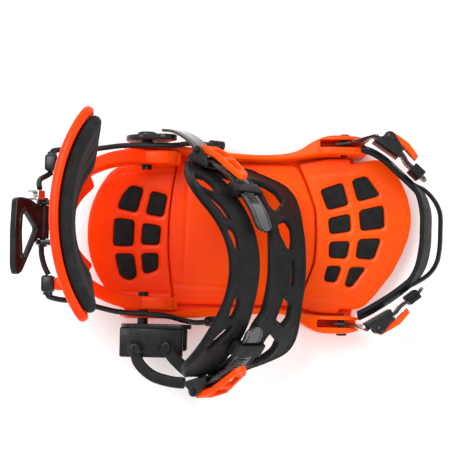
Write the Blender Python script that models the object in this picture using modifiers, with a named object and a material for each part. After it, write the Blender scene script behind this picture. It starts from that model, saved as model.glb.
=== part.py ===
"""Rear-entry snowboard binding for a right foot: baseplate, fold-back highback with its cable and
release lever, ankle strap and toe strap on ratchet ladders.

The frame: +X to the toe, +Y to the big-toe side, +Z up, origin at the centre of the mounting disc on
the face that rests on the board. Dimensions below are in millimetres; meshes are made in metres.
"""

import math

import bmesh
import bpy
from mathutils import Matrix, Vector

MM = 0.001
GAP = 0.3

# Base
DISC_RADIUS = 48.0
FLOOR_TOP = 7.6
SHEET_TOP = 10.0
HEEL_TOP = 16.0
RAMP_REAR_X = 40.0
RAMP_REAR_TOP = 16.0
RAMP_SLOPE = 0.075
CUSHION_PROUD = 1.8
CHANNEL_WIDTH = 6.0
CHANNEL_FLOOR = 15.0

# Axis across the binding that the highback and the ankle strap turn on
PIVOT_X, PIVOT_Z = -79.0, 38.0
BOLT_RADIUS = 4.0

# Heel loop: half an ellipse in plan that rises toward the back
LOOP_REACH = 57.6
LOOP_HALF_WIDTH = 49.6
LOOP_SIDE_THICKNESS = 10.4
LOOP_REAR_THICKNESS = 5.0
LOOP_HALF_HEIGHT = 12.5
LOOP_RISE = 62.0
LOOP_NOSE = 24.0

# Highback: height, half width and rearmost x at each level
BACK_LEVELS = [
    (76, 33, -134.0),
    (92, 35.5, -135.7),
    (108, 37.5, -136.2),
    (122, 43, -136.0),
    (138, 50, -135.2),
    (156, 57, -134.0),
    (176, 62.5, -132.3),
    (198, 67, -130.0),
    (216, 69.6, -128.2),
    (230, 69.3, -127.0),
]
BACK_CENTRE_Y = -0.5
BACK_SAG_LOW, BACK_SAG_TOP = 19.5, 22.0
BACK_THICKNESS = 5.0
PAD_THICKNESS = 9.0

# Release lever
LEVER_X, LEVER_Y, LEVER_Z = -147.2, 0.0, 106.0
LEVER_TILT = math.radians(56)
LEVER_THICKNESS = 5.6
LEVER_HUB = 11.6
LUG_INNER, LUG_OUTER = 12.2, 16.0

# Ankle strap: an arch in the plane that leans forward from the pivot axis
STRAP_LEAN = math.radians(44)
ARCH = [
    (50, 40), (46, 49.5), (41, 61), (34.5, 73), (26.5, 84), (16.5, 94.5), (5, 103.5), (-8, 109), (-23, 111.5),
    (-38, 111), (-53, 107.5), (-68, 102), (-82, 94), (-93, 83), (-101, 69.5), (-105.5, 56), (-107, 43),
]
STRAP_THICKNESS = 5.0
LADDER_W = 8.0
LADDER_HALF_WIDTH = 8.4
LADDER_THICKNESS = 2.4

# Toe strap: a curve in plan round the front of the boot
TOE_CURVE = [
    (77, 68), (84.9, 65.6), (93, 62.5), (101.8, 56.8), (110.6, 48.8), (120.1, 40.3), (128, 31.9),
    (132.3, 17.9), (132.7, 3.7), (132.2, -8.7), (129.3, -23), (123.2, -34.3), (114.9, -41.9), (106.2, -48.5),
    (97, -54.5), (89.1, -59.2), (80.7, -63.4),
]
TOE_BAND_Z = 50.0
TOE_THICKNESS = 3.6
TOE_PIVOT_X, TOE_PIVOT_Z = 71.0, 29.0
TOE_BUCKLE_LIFT = 4.2

ORANGE = ("orange_plastic", (1.0, 0.13, 0.0), 0.28, 0.0)
BLACK = ("black_plastic", (0.02, 0.02, 0.021), 0.45, 0.0)
GLOSS = ("ladder_plastic", (0.012, 0.012, 0.013), 0.12, 0.0)
STRAP = ("strap_rubber", (0.035, 0.035, 0.036), 0.62, 0.0)
FOAM = ("eva_foam", (0.03, 0.03, 0.03), 0.85, 0.0)
STEEL = ("bright_steel", (0.55, 0.55, 0.56), 0.3, 1.0)
DARK_STEEL = ("black_steel", (0.03, 0.03, 0.03), 0.35, 1.0)
CABLE = ("cable_jacket", (0.015, 0.015, 0.015), 0.4, 0.0)
PAWL = ("red_plastic", (0.12, 0.008, 0.006), 0.35, 0.0)


# ---------------------------------------------------------------- scene and helpers


def clear_scene():
    for old in list(bpy.data.objects):
        bpy.data.objects.remove(old, do_unlink=True)


def new_collection(name):
    made = bpy.data.collections.new(name)
    bpy.context.scene.collection.children.link(made)
    return made


clear_scene()
PARTS = new_collection("rear_entry_snowboard_binding")
CUTTERS = new_collection("cutters")


def material(spec):
    name, colour, roughness, metallic = spec
    found = bpy.data.materials.get(name)
    if found:
        return found
    made = bpy.data.materials.new(name)
    made.use_nodes = True
    shader = made.node_tree.nodes["Principled BSDF"]
    shader.inputs["Base Color"].default_value = (*colour, 1)
    shader.inputs["Roughness"].default_value = roughness
    shader.inputs["Metallic"].default_value = metallic
    return made


def metres(point):
    return Vector(point) * MM


def face_outward(bm):
    bm.normal_update()
    bmesh.ops.recalc_face_normals(bm, faces=bm.faces)
    if all(e.is_manifold for e in bm.edges) and bm.calc_volume(signed=True) < 0:
        bmesh.ops.reverse_faces(bm, faces=bm.faces)


def mesh_object(name, bm, look, smooth=True):
    face_outward(bm)
    mesh = bpy.data.meshes.new(name)
    bm.to_mesh(mesh)
    bm.free()
    made = bpy.data.objects.new(name, mesh)
    PARTS.objects.link(made)
    mesh.materials.append(material(look))
    if smooth:
        mesh.shade_smooth()
        mesh.set_sharp_from_angle(angle=math.radians(35))
    return made


def parent_to(empty, *objects):
    """Hang objects on an empty and leave them where they are."""
    bpy.context.view_layer.update()
    for item in objects:
        item.parent = empty
        item.matrix_parent_inverse = empty.matrix_world.inverted()


def axis_empty(name, x, y, z):
    made = bpy.data.objects.new(name, None)
    made.location = metres((x, y, z))
    PARTS.objects.link(made)
    return made


def baked(obj):
    """The object's evaluated shape as a plain welded mesh object of the same name."""
    bpy.context.view_layer.update()
    graph = bpy.context.evaluated_depsgraph_get()
    mesh = bpy.data.meshes.new_from_object(obj.evaluated_get(graph))
    name, place = obj.name, obj.matrix_world.copy()
    bpy.data.objects.remove(obj)
    bm = bmesh.new()
    bm.from_mesh(mesh)
    bmesh.ops.remove_doubles(bm, verts=bm.verts, dist=1e-6)
    face_outward(bm)
    bm.to_mesh(mesh)
    bm.free()
    made = bpy.data.objects.new(name, mesh)
    made.matrix_world = place
    PARTS.objects.link(made)
    return made


def boolean(target, tool, operation):
    CUTTERS.objects.link(tool)
    PARTS.objects.unlink(tool)
    tool.hide_render = True
    tool.display_type = "WIRE"
    step = target.modifiers.new(operation.lower(), "BOOLEAN")
    step.operation = operation
    step.solver = "EXACT"
    step.object = tool
    return target


def joined(target, *tools):
    for tool in tools:
        boolean(target, tool, "UNION")
    return target


def cut(target, *tools):
    for tool in tools:
        boolean(target, tool, "DIFFERENCE")
    return target


def box(name, low, high, look=BLACK, place=None, bevel=0.0):
    """A box between two corners, in millimetres, with an optional rounded edge."""
    bm = bmesh.new()
    bmesh.ops.create_cube(bm, size=1)
    for v in bm.verts:
        v.co = Vector([(a + b) / 2 + c * (b - a) for a, b, c in zip(low, high, v.co)]) * MM
    made = mesh_object(name, bm, look)
    if place is not None:
        made.matrix_world = place
    if bevel:
        step = made.modifiers.new("edge", "BEVEL")
        step.width = bevel * MM
        step.segments = 1
    return made


def cylinder(name, start, end, radius, look=BLACK, sides=20, place=None):
    bm = bmesh.new()
    a, b = metres(start), metres(end)
    reach = radius * MM
    depth = (b - a).length
    bmesh.ops.create_cone(bm, cap_ends=True, segments=sides, radius1=reach, radius2=reach, depth=depth)
    turn = (b - a).to_track_quat("Z", "Y").to_matrix().to_4x4()
    bm.transform(Matrix.Translation((a + b) / 2) @ turn)
    made = mesh_object(name, bm, look)
    if place is not None:
        made.matrix_world = place
    return made


def outline(name, loops, low, high, look):
    """A flat plate between two heights: the first loop is its edge, the others are holes."""
    curve = bpy.data.curves.new(name, "CURVE")
    curve.dimensions = "2D"
    curve.fill_mode = "BOTH"
    curve.extrude = (high - low) / 2 * MM
    for loop in loops:
        spline = curve.splines.new("POLY")
        spline.points.add(len(loop) - 1)
        spline.use_cyclic_u = True
        for point, (x, y) in zip(spline.points, loop):
            point.co = (x * MM, y * MM, 0, 1)
    made = bpy.data.objects.new(name, curve)
    made.location = (0, 0, (low + high) / 2 * MM)
    PARTS.objects.link(made)
    made = baked(made)
    made.data.materials.clear()
    made.data.materials.append(material(look))
    return made


def rounded(loop, radius, steps=2):
    """The loop with each corner replaced by a short curve."""
    out = []
    count = len(loop)
    for i in range(count):
        corner = Vector(loop[i])
        before = Vector(loop[i - 1]) - corner
        after = Vector(loop[(i + 1) % count]) - corner
        reach = min(radius, before.length * 0.45, after.length * 0.45)
        a, b = corner + before.normalized() * reach, corner + after.normalized() * reach
        for k in range(steps + 1):
            t = k / steps
            out.append(tuple(a * (1 - t) ** 2 + corner * 2 * t * (1 - t) + b * t * t))
    return out


def scaled(loop, factor):
    """The loop drawn in toward its own centre."""
    centre = sum((Vector(p) for p in loop), Vector((0, 0))) / len(loop)
    return [tuple(centre + (Vector(p) - centre) * factor) for p in loop]


def loft(name, sections, look):
    """A closed solid through sections that all have the same number of points."""
    bm = bmesh.new()
    rings = [[bm.verts.new(metres(p)) for p in section] for section in sections]
    for a, b in zip(rings, rings[1:]):
        for i in range(len(a)):
            j = (i + 1) % len(a)
            bm.faces.new((a[i], a[j], b[j], b[i]))
    bm.faces.new(rings[0])
    bm.faces.new(rings[-1])
    return mesh_object(name, bm, look)


def turned(name, profile, start, end, look, steps=20):
    """A turned piece from start toward end. The profile is (radius, distance along), outside edge
    from the far end to the near end."""
    bm = bmesh.new()
    points = [bm.verts.new((r * MM, 0, d * MM)) for r, d in profile]
    for a, b in zip(points, points[1:]):
        bm.edges.new((a, b))
    mesh = bpy.data.meshes.new(name)
    bm.to_mesh(mesh)
    bm.free()
    made = bpy.data.objects.new(name, mesh)
    PARTS.objects.link(made)
    mesh.materials.append(material(look))
    screw = made.modifiers.new("turn", "SCREW")
    screw.steps = screw.render_steps = steps
    screw.use_merge_vertices = True
    screw.merge_threshold = 1e-6
    a, b = metres(start), metres(end)
    made.matrix_world = Matrix.Translation(a) @ (b - a).to_track_quat("Z", "Y").to_matrix().to_4x4()
    return made


def tube(name, points, radius, look, resolution=2):
    curve = bpy.data.curves.new(name, "CURVE")
    curve.dimensions = "3D"
    curve.bevel_depth = radius * MM
    curve.bevel_resolution = resolution
    curve.use_fill_caps = True
    spline = curve.splines.new("POLY")
    spline.points.add(len(points) - 1)
    for point, place in zip(spline.points, points):
        point.co = (*metres(place), 1)
    made = bpy.data.objects.new(name, curve)
    PARTS.objects.link(made)
    curve.materials.append(material(look))
    return made


def spline_at(points, t):
    """Point and direction at share t of a smooth curve through the points."""
    last = len(points) - 1
    place = min(max(t, 0.0), 1.0) * last
    i = min(int(place), last - 1)
    f = place - i
    p1, p2 = Vector(points[i]), Vector(points[i + 1])
    p0 = Vector(points[i - 1]) if i > 0 else p1 * 2 - p2
    p3 = Vector(points[i + 2]) if i + 2 <= last else p2 * 2 - p1
    a, b, c = (p2 - p0) / 2, p0 - p1 * 2.5 + p2 * 2 - p3 / 2, (p1 - p2) * 1.5 + (p3 - p0) / 2
    return p1 + a * f + b * f * f + c * f ** 3, (a + b * 2 * f + c * 3 * f * f).normalized()


def smooth_route(points, count):
    return [spline_at(points, i / (count - 1))[0] for i in range(count)]


def blend(levels, value):
    """Linear reading of a table whose rows start with the value's own scale."""
    for low, high in zip(levels, levels[1:]):
        if value <= high[0]:
            f = max(0.0, (value - low[0]) / (high[0] - low[0]))
            return [a + (b - a) * f for a, b in zip(low[1:], high[1:])]
    return list(levels[-1][1:])


def ease(value, low, high):
    f = min(max((value - low) / (high - low), 0.0), 1.0)
    return f * f * (3 - 2 * f)


def grid_shell(name, grid, holes, thickness, look, levels=1):
    """A shell of even thickness about a grid of points; holes are (row, column) cells left out."""
    bm = bmesh.new()
    made = [[bm.verts.new(metres(p)) for p in row] for row in grid]
    for r in range(len(grid) - 1):
        for c in range(len(grid[0]) - 1):
            if (r, c) not in holes:
                corners = (made[r][c], made[r][c + 1], made[r + 1][c + 1], made[r + 1][c])
                bm.faces.new(corners)
    loose = [v for v in bm.verts if not v.link_faces]
    bmesh.ops.delete(bm, geom=loose, context="VERTS")
    shell = mesh_object(name, bm, look)
    solid = shell.modifiers.new("thickness", "SOLIDIFY")
    solid.thickness = thickness * MM
    solid.offset = 0
    if levels:
        soft = shell.modifiers.new("soft", "SUBSURF")
        soft.levels = soft.render_levels = levels
    return shell


def local_frame(origin, along, across):
    """Axes: x along, y across, z their outward normal."""
    x = Vector(along).normalized()
    y = Vector(across)
    y = (y - x * y.dot(x)).normalized()
    z = x.cross(y)
    turn = Matrix((x, y, z)).transposed().to_4x4()
    return Matrix.Translation(metres(origin)) @ turn


# ---------------------------------------------------------------- base


# Side wall stations on the big-toe side: x, inner y, outer y, top height
WALL = [
    (-97, 61, 64, 26), (-91, 61, 65, 44), (-79, 61, 65, 48), (-64, 60.8, 65, 46), (-52, 60, 64.6, 38),
    (-36, 58, 63.6, 32), (-12, 56.6, 61.2, 28.5), (14, 56.5, 60.6, 28), (34, 58, 63.5, 30),
    (48, 60, 71.5, 34), (60, 61, 75.3, 38), (79, 61, 75, 38.5), (88, 62, 73, 35),
]
RAIL_Y = {1: 69.4, -1: 67.0}
WALL_TURN_X = 14.0
TOE_END_RIGHT = 83.0
EDGE = 1.6


def wall_sections(side):
    """Sections of one side wall, chamfered along the top; the little-toe side is shorter in front
    and a little thicker at the heel."""
    shrink = (TOE_END_RIGHT - WALL_TURN_X) / (WALL[-1][0] - WALL_TURN_X)
    sections = []
    for x, inner, outer, top in WALL:
        if side < 0:
            outer += 1.0 if x < WALL_TURN_X else -1.0
            x = x if x < WALL_TURN_X else WALL_TURN_X + (x - WALL_TURN_X) * shrink
        ring = [(inner, 0), (outer - 1, 0), (outer, 3), (outer, top - EDGE), (outer - EDGE, top)]
        ring += [(inner + EDGE, top), (inner, top - EDGE)]
        sections.append([(x, side * y, z) for y, z in ring])
    return sections


def make_baseplate():
    half = [(-116, 18), (-108, 40), (-95, 62.5), (-60, 62.5), (-30, 60.5), (14, 58.5), (36, 61), (60, 63)]
    half += [(82, 63)]
    edge = half + [(x, -y) for x, y in reversed(half)]
    plate = outline("baseplate", [edge], 0, FLOOR_TOP, ORANGE)
    plate = cut(plate, cylinder("disc_hole", (0, 0, -5), (0, 0, 20), DISC_RADIUS + 1, sides=32))
    for side, tag in ((1, "left"), (-1, "right")):
        joined(plate, loft("wall_" + tag, wall_sections(side), ORANGE))
    for side, tag in ((1, "left"), (-1, "right")):
        centre = side * RAIL_Y[side]
        cut(
            plate,
            box("channel_" + tag, (52, centre - CHANNEL_WIDTH / 2, CHANNEL_FLOOR),
                (110, centre + CHANNEL_WIDTH / 2, 60)),
            cylinder("pivot_hole_" + tag, (PIVOT_X, side * 50, PIVOT_Z), (PIVOT_X, side * 80, PIVOT_Z),
                     BOLT_RADIUS + GAP),
            cylinder("anchor_hole_" + tag, (-27, side * 50, 24), (-27, side * 80, 24), 3.0 + GAP, sides=12),
            cylinder("toe_hole_" + tag, (TOE_PIVOT_X, side * 50, TOE_PIVOT_Z),
                     (TOE_PIVOT_X, side * 80, TOE_PIVOT_Z), 2.5 + GAP, sides=12),
        )
    return plate


def make_disc():
    rim = DISC_RADIUS
    profile = [(0, FLOOR_TOP), (20, FLOOR_TOP), (24, 6), (38, 6), (42, FLOOR_TOP), (rim, FLOOR_TOP), (rim, 0)]
    profile += [(0, 0)]
    return turned("mounting_disc", profile, (0, 0, 0), (0, 0, 1), BLACK, steps=32)


# Cushion blocks, as corner lists in plan
HEEL_BLOCKS = [
    [(-92, 36), (-82, 34), (-87, 15), (-102, 18), (-98.5, 28)],
    [(-76, 32), (-63.5, 29), (-66.5, 12), (-80, 14)],
    [(-104, 10.5), (-88.5, 9), (-89, -11), (-104.5, -11)],
    [(-82, 7), (-68, 5), (-69, -9.5), (-83, -9.5)],
    [(-103, -17), (-88.5, -17), (-85.5, -34.5), (-91.5, -37.5), (-98.5, -34)],
    [(-82.5, -16.5), (-69.5, -16), (-69.5, -28.5), (-78.5, -32), (-81, -30)],
]
TOE_BLOCKS = [
    [(54, 35.5), (71, 41.5), (76, 24.5), (60, 20)],
    [(78, 43.5), (89, 47), (100, 32), (83, 27)],
    [(60.5, 13.5), (77, 17.5), (78, 4), (62, 1.5)],
    [(84, 20), (102.5, 24.5), (103.5, 7), (85.5, 4.5)],
    [(62, -4.5), (77.5, -3.5), (75, -17), (61.5, -16.5)],
    [(84, -2), (101, -1), (95.5, -17.5), (82, -16.5)],
    [(60.5, -23), (71.5, -23), (67, -35.5), (58, -34.5)],
    [(78, -23.5), (90, -23.5), (79, -39), (74, -38)],
]


def make_heel_footbed():
    half = [(-124.5, 6), (-122.5, 19), (-116.5, 34), (-108, 46.5), (-100, 51.5), (-80, 53), (-57, 55)]
    half += [(-60, 36), (-62.5, 14)]
    edge = half + [(x, -y) for x, y in reversed(half)]
    windows = [rounded(block, 3) for block in HEEL_BLOCKS]
    return outline("heel_footbed", [edge] + windows, SHEET_TOP + GAP, HEEL_TOP, ORANGE)


def make_centre_cover():
    rear = [(-56.4, 54.8), (-59.4, 36), (-61.9, 14)]
    front = [(36, 54.5), (43, 40), (50.5, 20), (51.5, 0)]
    left = [*reversed(rear)] + front
    edge = left + [(x, -y) for x, y in reversed(left[:-1])]
    return outline("centre_cover", [edge], FLOOR_TOP + 0.5, 13, ORANGE)


def ramp_top(x):
    return RAMP_REAR_TOP + max(0.0, x - RAMP_REAR_X) * RAMP_SLOPE


def make_toe_ramp():
    edge = [(37, 55.5), (60, 59.5), (76, 59.8), (77, 56), (98, 60), (108, 53.5), (115.5, 43.5), (120.5, 32.5)]
    edge += [(123.5, 20), (123.8, 10), (122, 0), (117.5, -12.5), (110, -27.5), (97, -45), (88, -54.5)]
    edge += [(80, -56.2), (70, -56), (69, -59.3), (55, -59.2), (37, -55.5)]
    edge += [(44, -40.5), (51.2, -20), (52.2, 0), (51.2, 20), (44, 40.5)]
    windows = [rounded(block, 3) for block in TOE_BLOCKS]
    ramp = outline("toe_ramp", [edge] + windows, SHEET_TOP + GAP, RAMP_REAR_TOP, ORANGE)
    middle = (RAMP_REAR_TOP - SHEET_TOP - GAP) / 2 * MM
    for v in ramp.data.vertices:
        if v.co.z > middle / 2:
            v.co.z += (ramp_top(v.co.x / MM) - RAMP_REAR_TOP) * MM
    return ramp


def make_cushion(name, base, blocks, top_at):
    """A foam sheet under the footbed with its blocks standing up through the windows."""
    sheet = outline(name, [base], FLOOR_TOP + 0.5, SHEET_TOP, FOAM)
    for i, block in enumerate(blocks):
        loop = scaled(rounded(block, 3), 0.955)
        stud = outline(f"{name}_block_{i}", [loop], SHEET_TOP - 1, SHEET_TOP + 1, FOAM)
        for v in stud.data.vertices:
            if v.co.z > 0:
                v.co.z += (top_at(v.co.x / MM) + CUSHION_PROUD - SHEET_TOP - 1) * MM
        joined(sheet, stud)
    return sheet


# ---------------------------------------------------------------- heel loop, highback and cable


def loop_station(angle):
    """Plan point of the loop's inner face, its outward direction and height at an angle from the side."""
    x = PIVOT_X - LOOP_REACH * math.sin(angle)
    y = LOOP_HALF_WIDTH * math.cos(angle)
    normal = Vector((-math.sin(angle) / LOOP_REACH, math.cos(angle) / LOOP_HALF_WIDTH)).normalized()
    return Vector((x, y)), normal, PIVOT_Z + LOOP_RISE * math.sin(angle)


def loop_thickness(angle):
    return LOOP_SIDE_THICKNESS + (LOOP_REAR_THICKNESS - LOOP_SIDE_THICKNESS) * math.sin(angle) ** 2


def loop_section(plan, normal, height, half_height, thickness):
    inner, outer = plan, plan + normal * thickness
    edge = 1.6
    ring = [
        (inner, half_height - edge), (inner + normal * edge, half_height),
        (outer - normal * edge, half_height), (outer, half_height - edge),
        (outer, edge - half_height), (outer - normal * edge, -half_height),
        (inner + normal * edge, -half_height), (inner, edge - half_height),
    ]
    return [(p.x, p.y, height + dz) for p, dz in ring]


def make_heel_loop():
    sections = []
    nose = []
    for reach in (LOOP_NOSE, 21, 16, 8):
        drop = max(0.0, reach - LOOP_NOSE + LOOP_HALF_HEIGHT)
        half = max(4.0, math.sqrt(max(0.0, LOOP_HALF_HEIGHT ** 2 - drop ** 2)))
        nose.append((PIVOT_X + reach, half))
    for x, half in nose:
        sections.append(loop_section(Vector((x, LOOP_HALF_WIDTH)), Vector((0, 1)), PIVOT_Z, half,
                                     LOOP_SIDE_THICKNESS))
    turns = 20
    for i in range(turns + 1):
        angle = math.pi * i / turns
        plan, normal, height = loop_station(angle)
        sections.append(loop_section(plan, normal, height, LOOP_HALF_HEIGHT, loop_thickness(angle)))
    for x, half in reversed(nose):
        sections.append(loop_section(Vector((x, -LOOP_HALF_WIDTH)), Vector((0, -1)), PIVOT_Z, half,
                                     LOOP_SIDE_THICKNESS))
    loop = loft("heel_loop", sections, ORANGE)
    for side, tag in ((1, "left"), (-1, "right")):
        joined(loop, box("guide_boss_" + tag, (-138.5, min(side * 38, side * 48), 84),
                         (-118, max(side * 38, side * 48), 104), ORANGE))
        near, far = sorted((LEVER_Y + side * LUG_INNER, LEVER_Y + side * LUG_OUTER))
        middle = (near + far) / 2 / (LOOP_HALF_WIDTH + LOOP_REAR_THICKNESS / 2)
        root = PIVOT_X - (LOOP_REACH + LOOP_REAR_THICKNESS / 2) * math.sqrt(1 - middle ** 2)
        joined(loop, box("lever_lug_" + tag, (LEVER_X - 4.6, near, 91), (root, far, 111), ORANGE))
        cut(loop, cylinder("loop_hole_" + tag, (PIVOT_X, side * 40, PIVOT_Z), (PIVOT_X, side * 70, PIVOT_Z),
                           BOLT_RADIUS + GAP))
    cut(loop, cylinder("lever_hole", (LEVER_X, LEVER_Y - 30, LEVER_Z), (LEVER_X, LEVER_Y + 30, LEVER_Z),
                       2.0 + GAP, sides=12))
    return loop


BACK_ARC = 0.75


def back_point(u, z, depth):
    """Point on the highback: u from -1 to 1 across, z up, depth forward of its rear face."""
    half, rear = blend(BACK_LEVELS, z)
    sag = BACK_SAG_LOW + (BACK_SAG_TOP - BACK_SAG_LOW) * ease(z, 110, 200)
    full = 1 - math.sqrt(1 - BACK_ARC ** 2)
    curve = (1 - math.sqrt(1 - (BACK_ARC * u) ** 2)) / full
    slope = sag * BACK_ARC ** 2 * u / math.sqrt(1 - (BACK_ARC * u) ** 2) / full / half
    lean = math.hypot(1, slope)
    centre = BACK_CENTRE_Y * ease(z, 115, 165)
    return (rear + sag * curve + depth / lean, centre + half * u - depth * slope / lean, z)


BACK_COLUMNS = [-1, -0.94, -0.78, -0.52, -0.26, 0, 0.26, 0.52, 0.78, 0.94, 1]
BACK_ROWS = [76, 80, 92, 112, 124, 132, 146, 170, 196, 216, 227, 230]


def back_grid(depth, low, high, narrow):
    rows = [z for z in BACK_ROWS if low <= z <= high]
    grid = []
    for z in rows:
        row = []
        for u in BACK_COLUMNS:
            drop = 13 * abs(u) ** 5 * ease(z, 180, 230)
            row.append(back_point(u * narrow, z - drop, depth))
        grid.append(row)
    return grid


def make_highback():
    grid = back_grid(BACK_THICKNESS / 2, 76, 230, 1.0)
    slots = {(4, 2), (4, 7)}
    return grid_shell("highback_shell", grid, slots, BACK_THICKNESS, ORANGE, levels=0)


def make_highback_pad():
    depth = BACK_THICKNESS + 0.6 + PAD_THICKNESS / 2
    grid = back_grid(depth, 132, 227, 0.985)
    return grid_shell("highback_pad", grid, set(), PAD_THICKNESS, FOAM, levels=0)


def make_loop_screw(tag, side):
    """Screw through the loop into the shell's lower edge."""
    angle = math.radians(90 - side * 36)
    plan, normal, height = loop_station(angle)
    outward = Vector((normal.x, normal.y, 0))
    face = Vector((plan.x, plan.y, height)) + outward * (loop_thickness(angle) + 0.5)
    profile = [(0, 2.2), (2.6, 2.2), (4.2, 1.2), (4.4, 0), (0, 0)]
    return turned("loop_screw_" + tag, profile, face, face + outward, DARK_STEEL, steps=12)


GUIDE = {1: (-143.4, 43, 97), -1: (-143.4, -43, 97)}


def make_cable_guide(tag, side):
    x, y, z = GUIDE[side]
    block = box("cable_guide_" + tag, (x - 4.6, y - 6, z - 7), (x + 4.6, y + 6, z + 7), BLACK, bevel=2.2)
    route = guide_route(side)
    return cut(block, cylinder("guide_hole_" + tag, route[0], route[1], 2.4, sides=12))


def guide_route(side):
    x, y, z = GUIDE[side]
    return (x, side * 60, z), (x, side * 25, z)


CABLE_RADIUS = 2.0


def side_cable_points(side):
    out = 0.0 if side > 0 else 0.9
    points = [(-33.7, 67.4, 26.6), (-40, 67.6, 32), (-49, 66.0, 41.5), (-58, 63.6, 49.4), (-70, 63.0, 52.2)]
    points += [(-84, 62.6, 53.4), (-97, 61.6, 56), (-110, 58.8, 63.5), (-124, 55, 76), (-135.5, 54, 87.5)]
    points += [(-142.4, 52.2, 95.6), (-143.4, 49.8, 97)]
    return [(x, side * (y + out * (x > -60)), z) for x, y, z in points]


def rear_cable_points(side):
    if side > 0:
        points = [(-143.4, 36.2, 97), (-146.6, 33.6, 99.4), (-149.8, 30.8, 105), (-150.2, 27.6, 111)]
        return points + [(-149, 23.2, 115.6)]
    return [(-143.4, -36.6, 97), (-146.4, -30.5, 97.4), (-148.4, -23, 98.4), (-148.8, -16.8, 99)]


def make_anchor(tag, side):
    start, end = (-32.6, side * 67.8, 25.6), (-21, side * 67.4, 21)
    barrel = cylinder("cable_anchor_" + tag, start, end, 3.6, sides=14)
    stud = cylinder("anchor_stud_" + tag, (-27, side * 58, 24), (-27, side * 67, 24), 3.0, sides=12)
    return joined(barrel, stud)


# ---------------------------------------------------------------- release lever


def lever_frame():
    """Lever axes: x from the pin to the free end, y across the binding, z out of its rear face."""
    along = (-math.cos(LEVER_TILT), 0, math.sin(LEVER_TILT))
    return local_frame((LEVER_X, LEVER_Y, LEVER_Z), along, (0, 1, 0))


def make_release_lever():
    hub = LEVER_HUB
    edge = [(-3, -hub), (7, -hub), (11, -15), (23, -36), (28, -38.5), (30.5, -33), (31.5, -8), (30.5, 14)]
    edge += [(27, 16), (17, 15.5), (8, hub), (-3, hub)]
    hole = [(8, -5), (19, -26), (22.5, -24), (24, -8), (23.5, 4), (20, 7)]
    half = LEVER_THICKNESS / 2
    plate = outline("release_lever", [rounded(edge, 4), rounded(hole, 2.5)], -half, half, BLACK)
    plate.matrix_world = lever_frame()
    joined(plate, cylinder("lever_hub", (0, -hub, 0), (0, hub, 0), 4.4, place=lever_frame()))
    cut(plate, cylinder("lever_bore", (0, -30, 0), (0, 30, 0), 2.0 + GAP, sides=12, place=lever_frame()))
    return plate


def make_clevis():
    """Metal clevis that holds the cable's end on the lever's big-toe side."""
    place = lever_frame()
    block = box("cable_clevis", (7, 14.9, -8), (15, 21.6, 3), STEEL, place, bevel=1.5)
    return cut(block, cylinder("clevis_mouth", (9, 17, -4), (9, 30, -4), 2.3, place=place, sides=12))


def make_lever_pin():
    head, length = 1.0, 2 * (LUG_OUTER + GAP + 1.0)
    profile = [(0, length), (3.2, length), (3.2, length - head), (2.0, length - head), (2.0, head)]
    profile += [(3.2, head), (3.2, 0), (0, 0)]
    start = (LEVER_X, LEVER_Y - length / 2, LEVER_Z)
    return turned("lever_pin", profile, start, (LEVER_X, LEVER_Y, LEVER_Z), DARK_STEEL, steps=12)


# ---------------------------------------------------------------- pivot bolts and strap hinge plates

ARM_INNER = {"left": 67.2, "right": 70.2}
ARM_OUTER = {"left": 71.2, "right": 73.6}

def make_pivot_bolt(tag, side):
    inner = 46.2
    stack = ARM_OUTER[tag] + GAP - inner
    profile = [(0, stack + 3), (6.3, stack + 3), (7.5, stack + 2), (7.5, stack), (BOLT_RADIUS, stack)]
    profile += [(BOLT_RADIUS, 2.5), (8.5, 2.5), (8.5, 0.8), (7.6, 0), (0, 0)]
    start = (PIVOT_X, side * inner, PIVOT_Z)
    return turned("pivot_bolt_" + tag, profile, start, (PIVOT_X, side * 80, PIVOT_Z), DARK_STEEL, steps=20)


def strap_point(y, s, w):
    """Point of the ankle strap's own frame: s out from the pivot axis, w across the strap's width."""
    c, n = math.cos(STRAP_LEAN), math.sin(STRAP_LEAN)
    return Vector((PIVOT_X + c * s + n * w, y, PIVOT_Z + n * s - c * w))


def arch_table():
    """Rows of distance along the arch and the share of its curve reached there."""
    rows, steps = [(0.0, 0.0)], 320
    for i in range(steps):
        a, b = (spline_at(ARCH, k / steps)[0] for k in (i, i + 1))
        rows.append((rows[-1][0] + (b - a).length, (i + 1) / steps))
    return rows


ARCH_TABLE = arch_table()


def arch_at(u):
    return spline_at(ARCH, blend(ARCH_TABLE, u)[0])


def arch_point(u, w, lift=0.0):
    """Point u millimetres along the arch from its big-toe end."""
    (y, s), (dy, ds) = arch_at(u)
    return strap_point(y + ds * lift, s - dy * lift, w)


def arch_frame(u, w, lift, turn=1):
    """Local frame on the arch: x along it, toward its crown when turn suits the side, z outward."""
    (y, s), (dy, ds) = arch_at(u)
    along = (strap_point(y + dy, s + ds, w) - strap_point(y, s, w)) * turn
    across = (strap_point(y, s, w + 1) - strap_point(y, s, w)) * turn
    return local_frame(arch_point(u, w, lift), along, across)


def arm_outline(name, points, low, high, side, look):
    """A plate that lies across Y: points are (x, z) and low, high its distances from the middle."""
    plate = outline(name, [points], low, high, look)
    turn = Matrix(((1, 0, 0, 0), (0, 0, side, 0), (0, 1, 0, 0), (0, 0, 0, 1)))
    plate.data.transform(turn @ plate.matrix_world)
    plate.matrix_world = Matrix.Identity(4)
    bm = bmesh.new()
    bm.from_mesh(plate.data)
    face_outward(bm)
    bm.to_mesh(plate.data)
    bm.free()
    return plate


def arc(cx, cy, radius, start, end, steps):
    out = []
    for i in range(steps + 1):
        a = math.radians(start + (end - start) * i / steps)
        out.append((cx + radius * math.cos(a), cy + radius * math.sin(a)))
    return out


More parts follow.
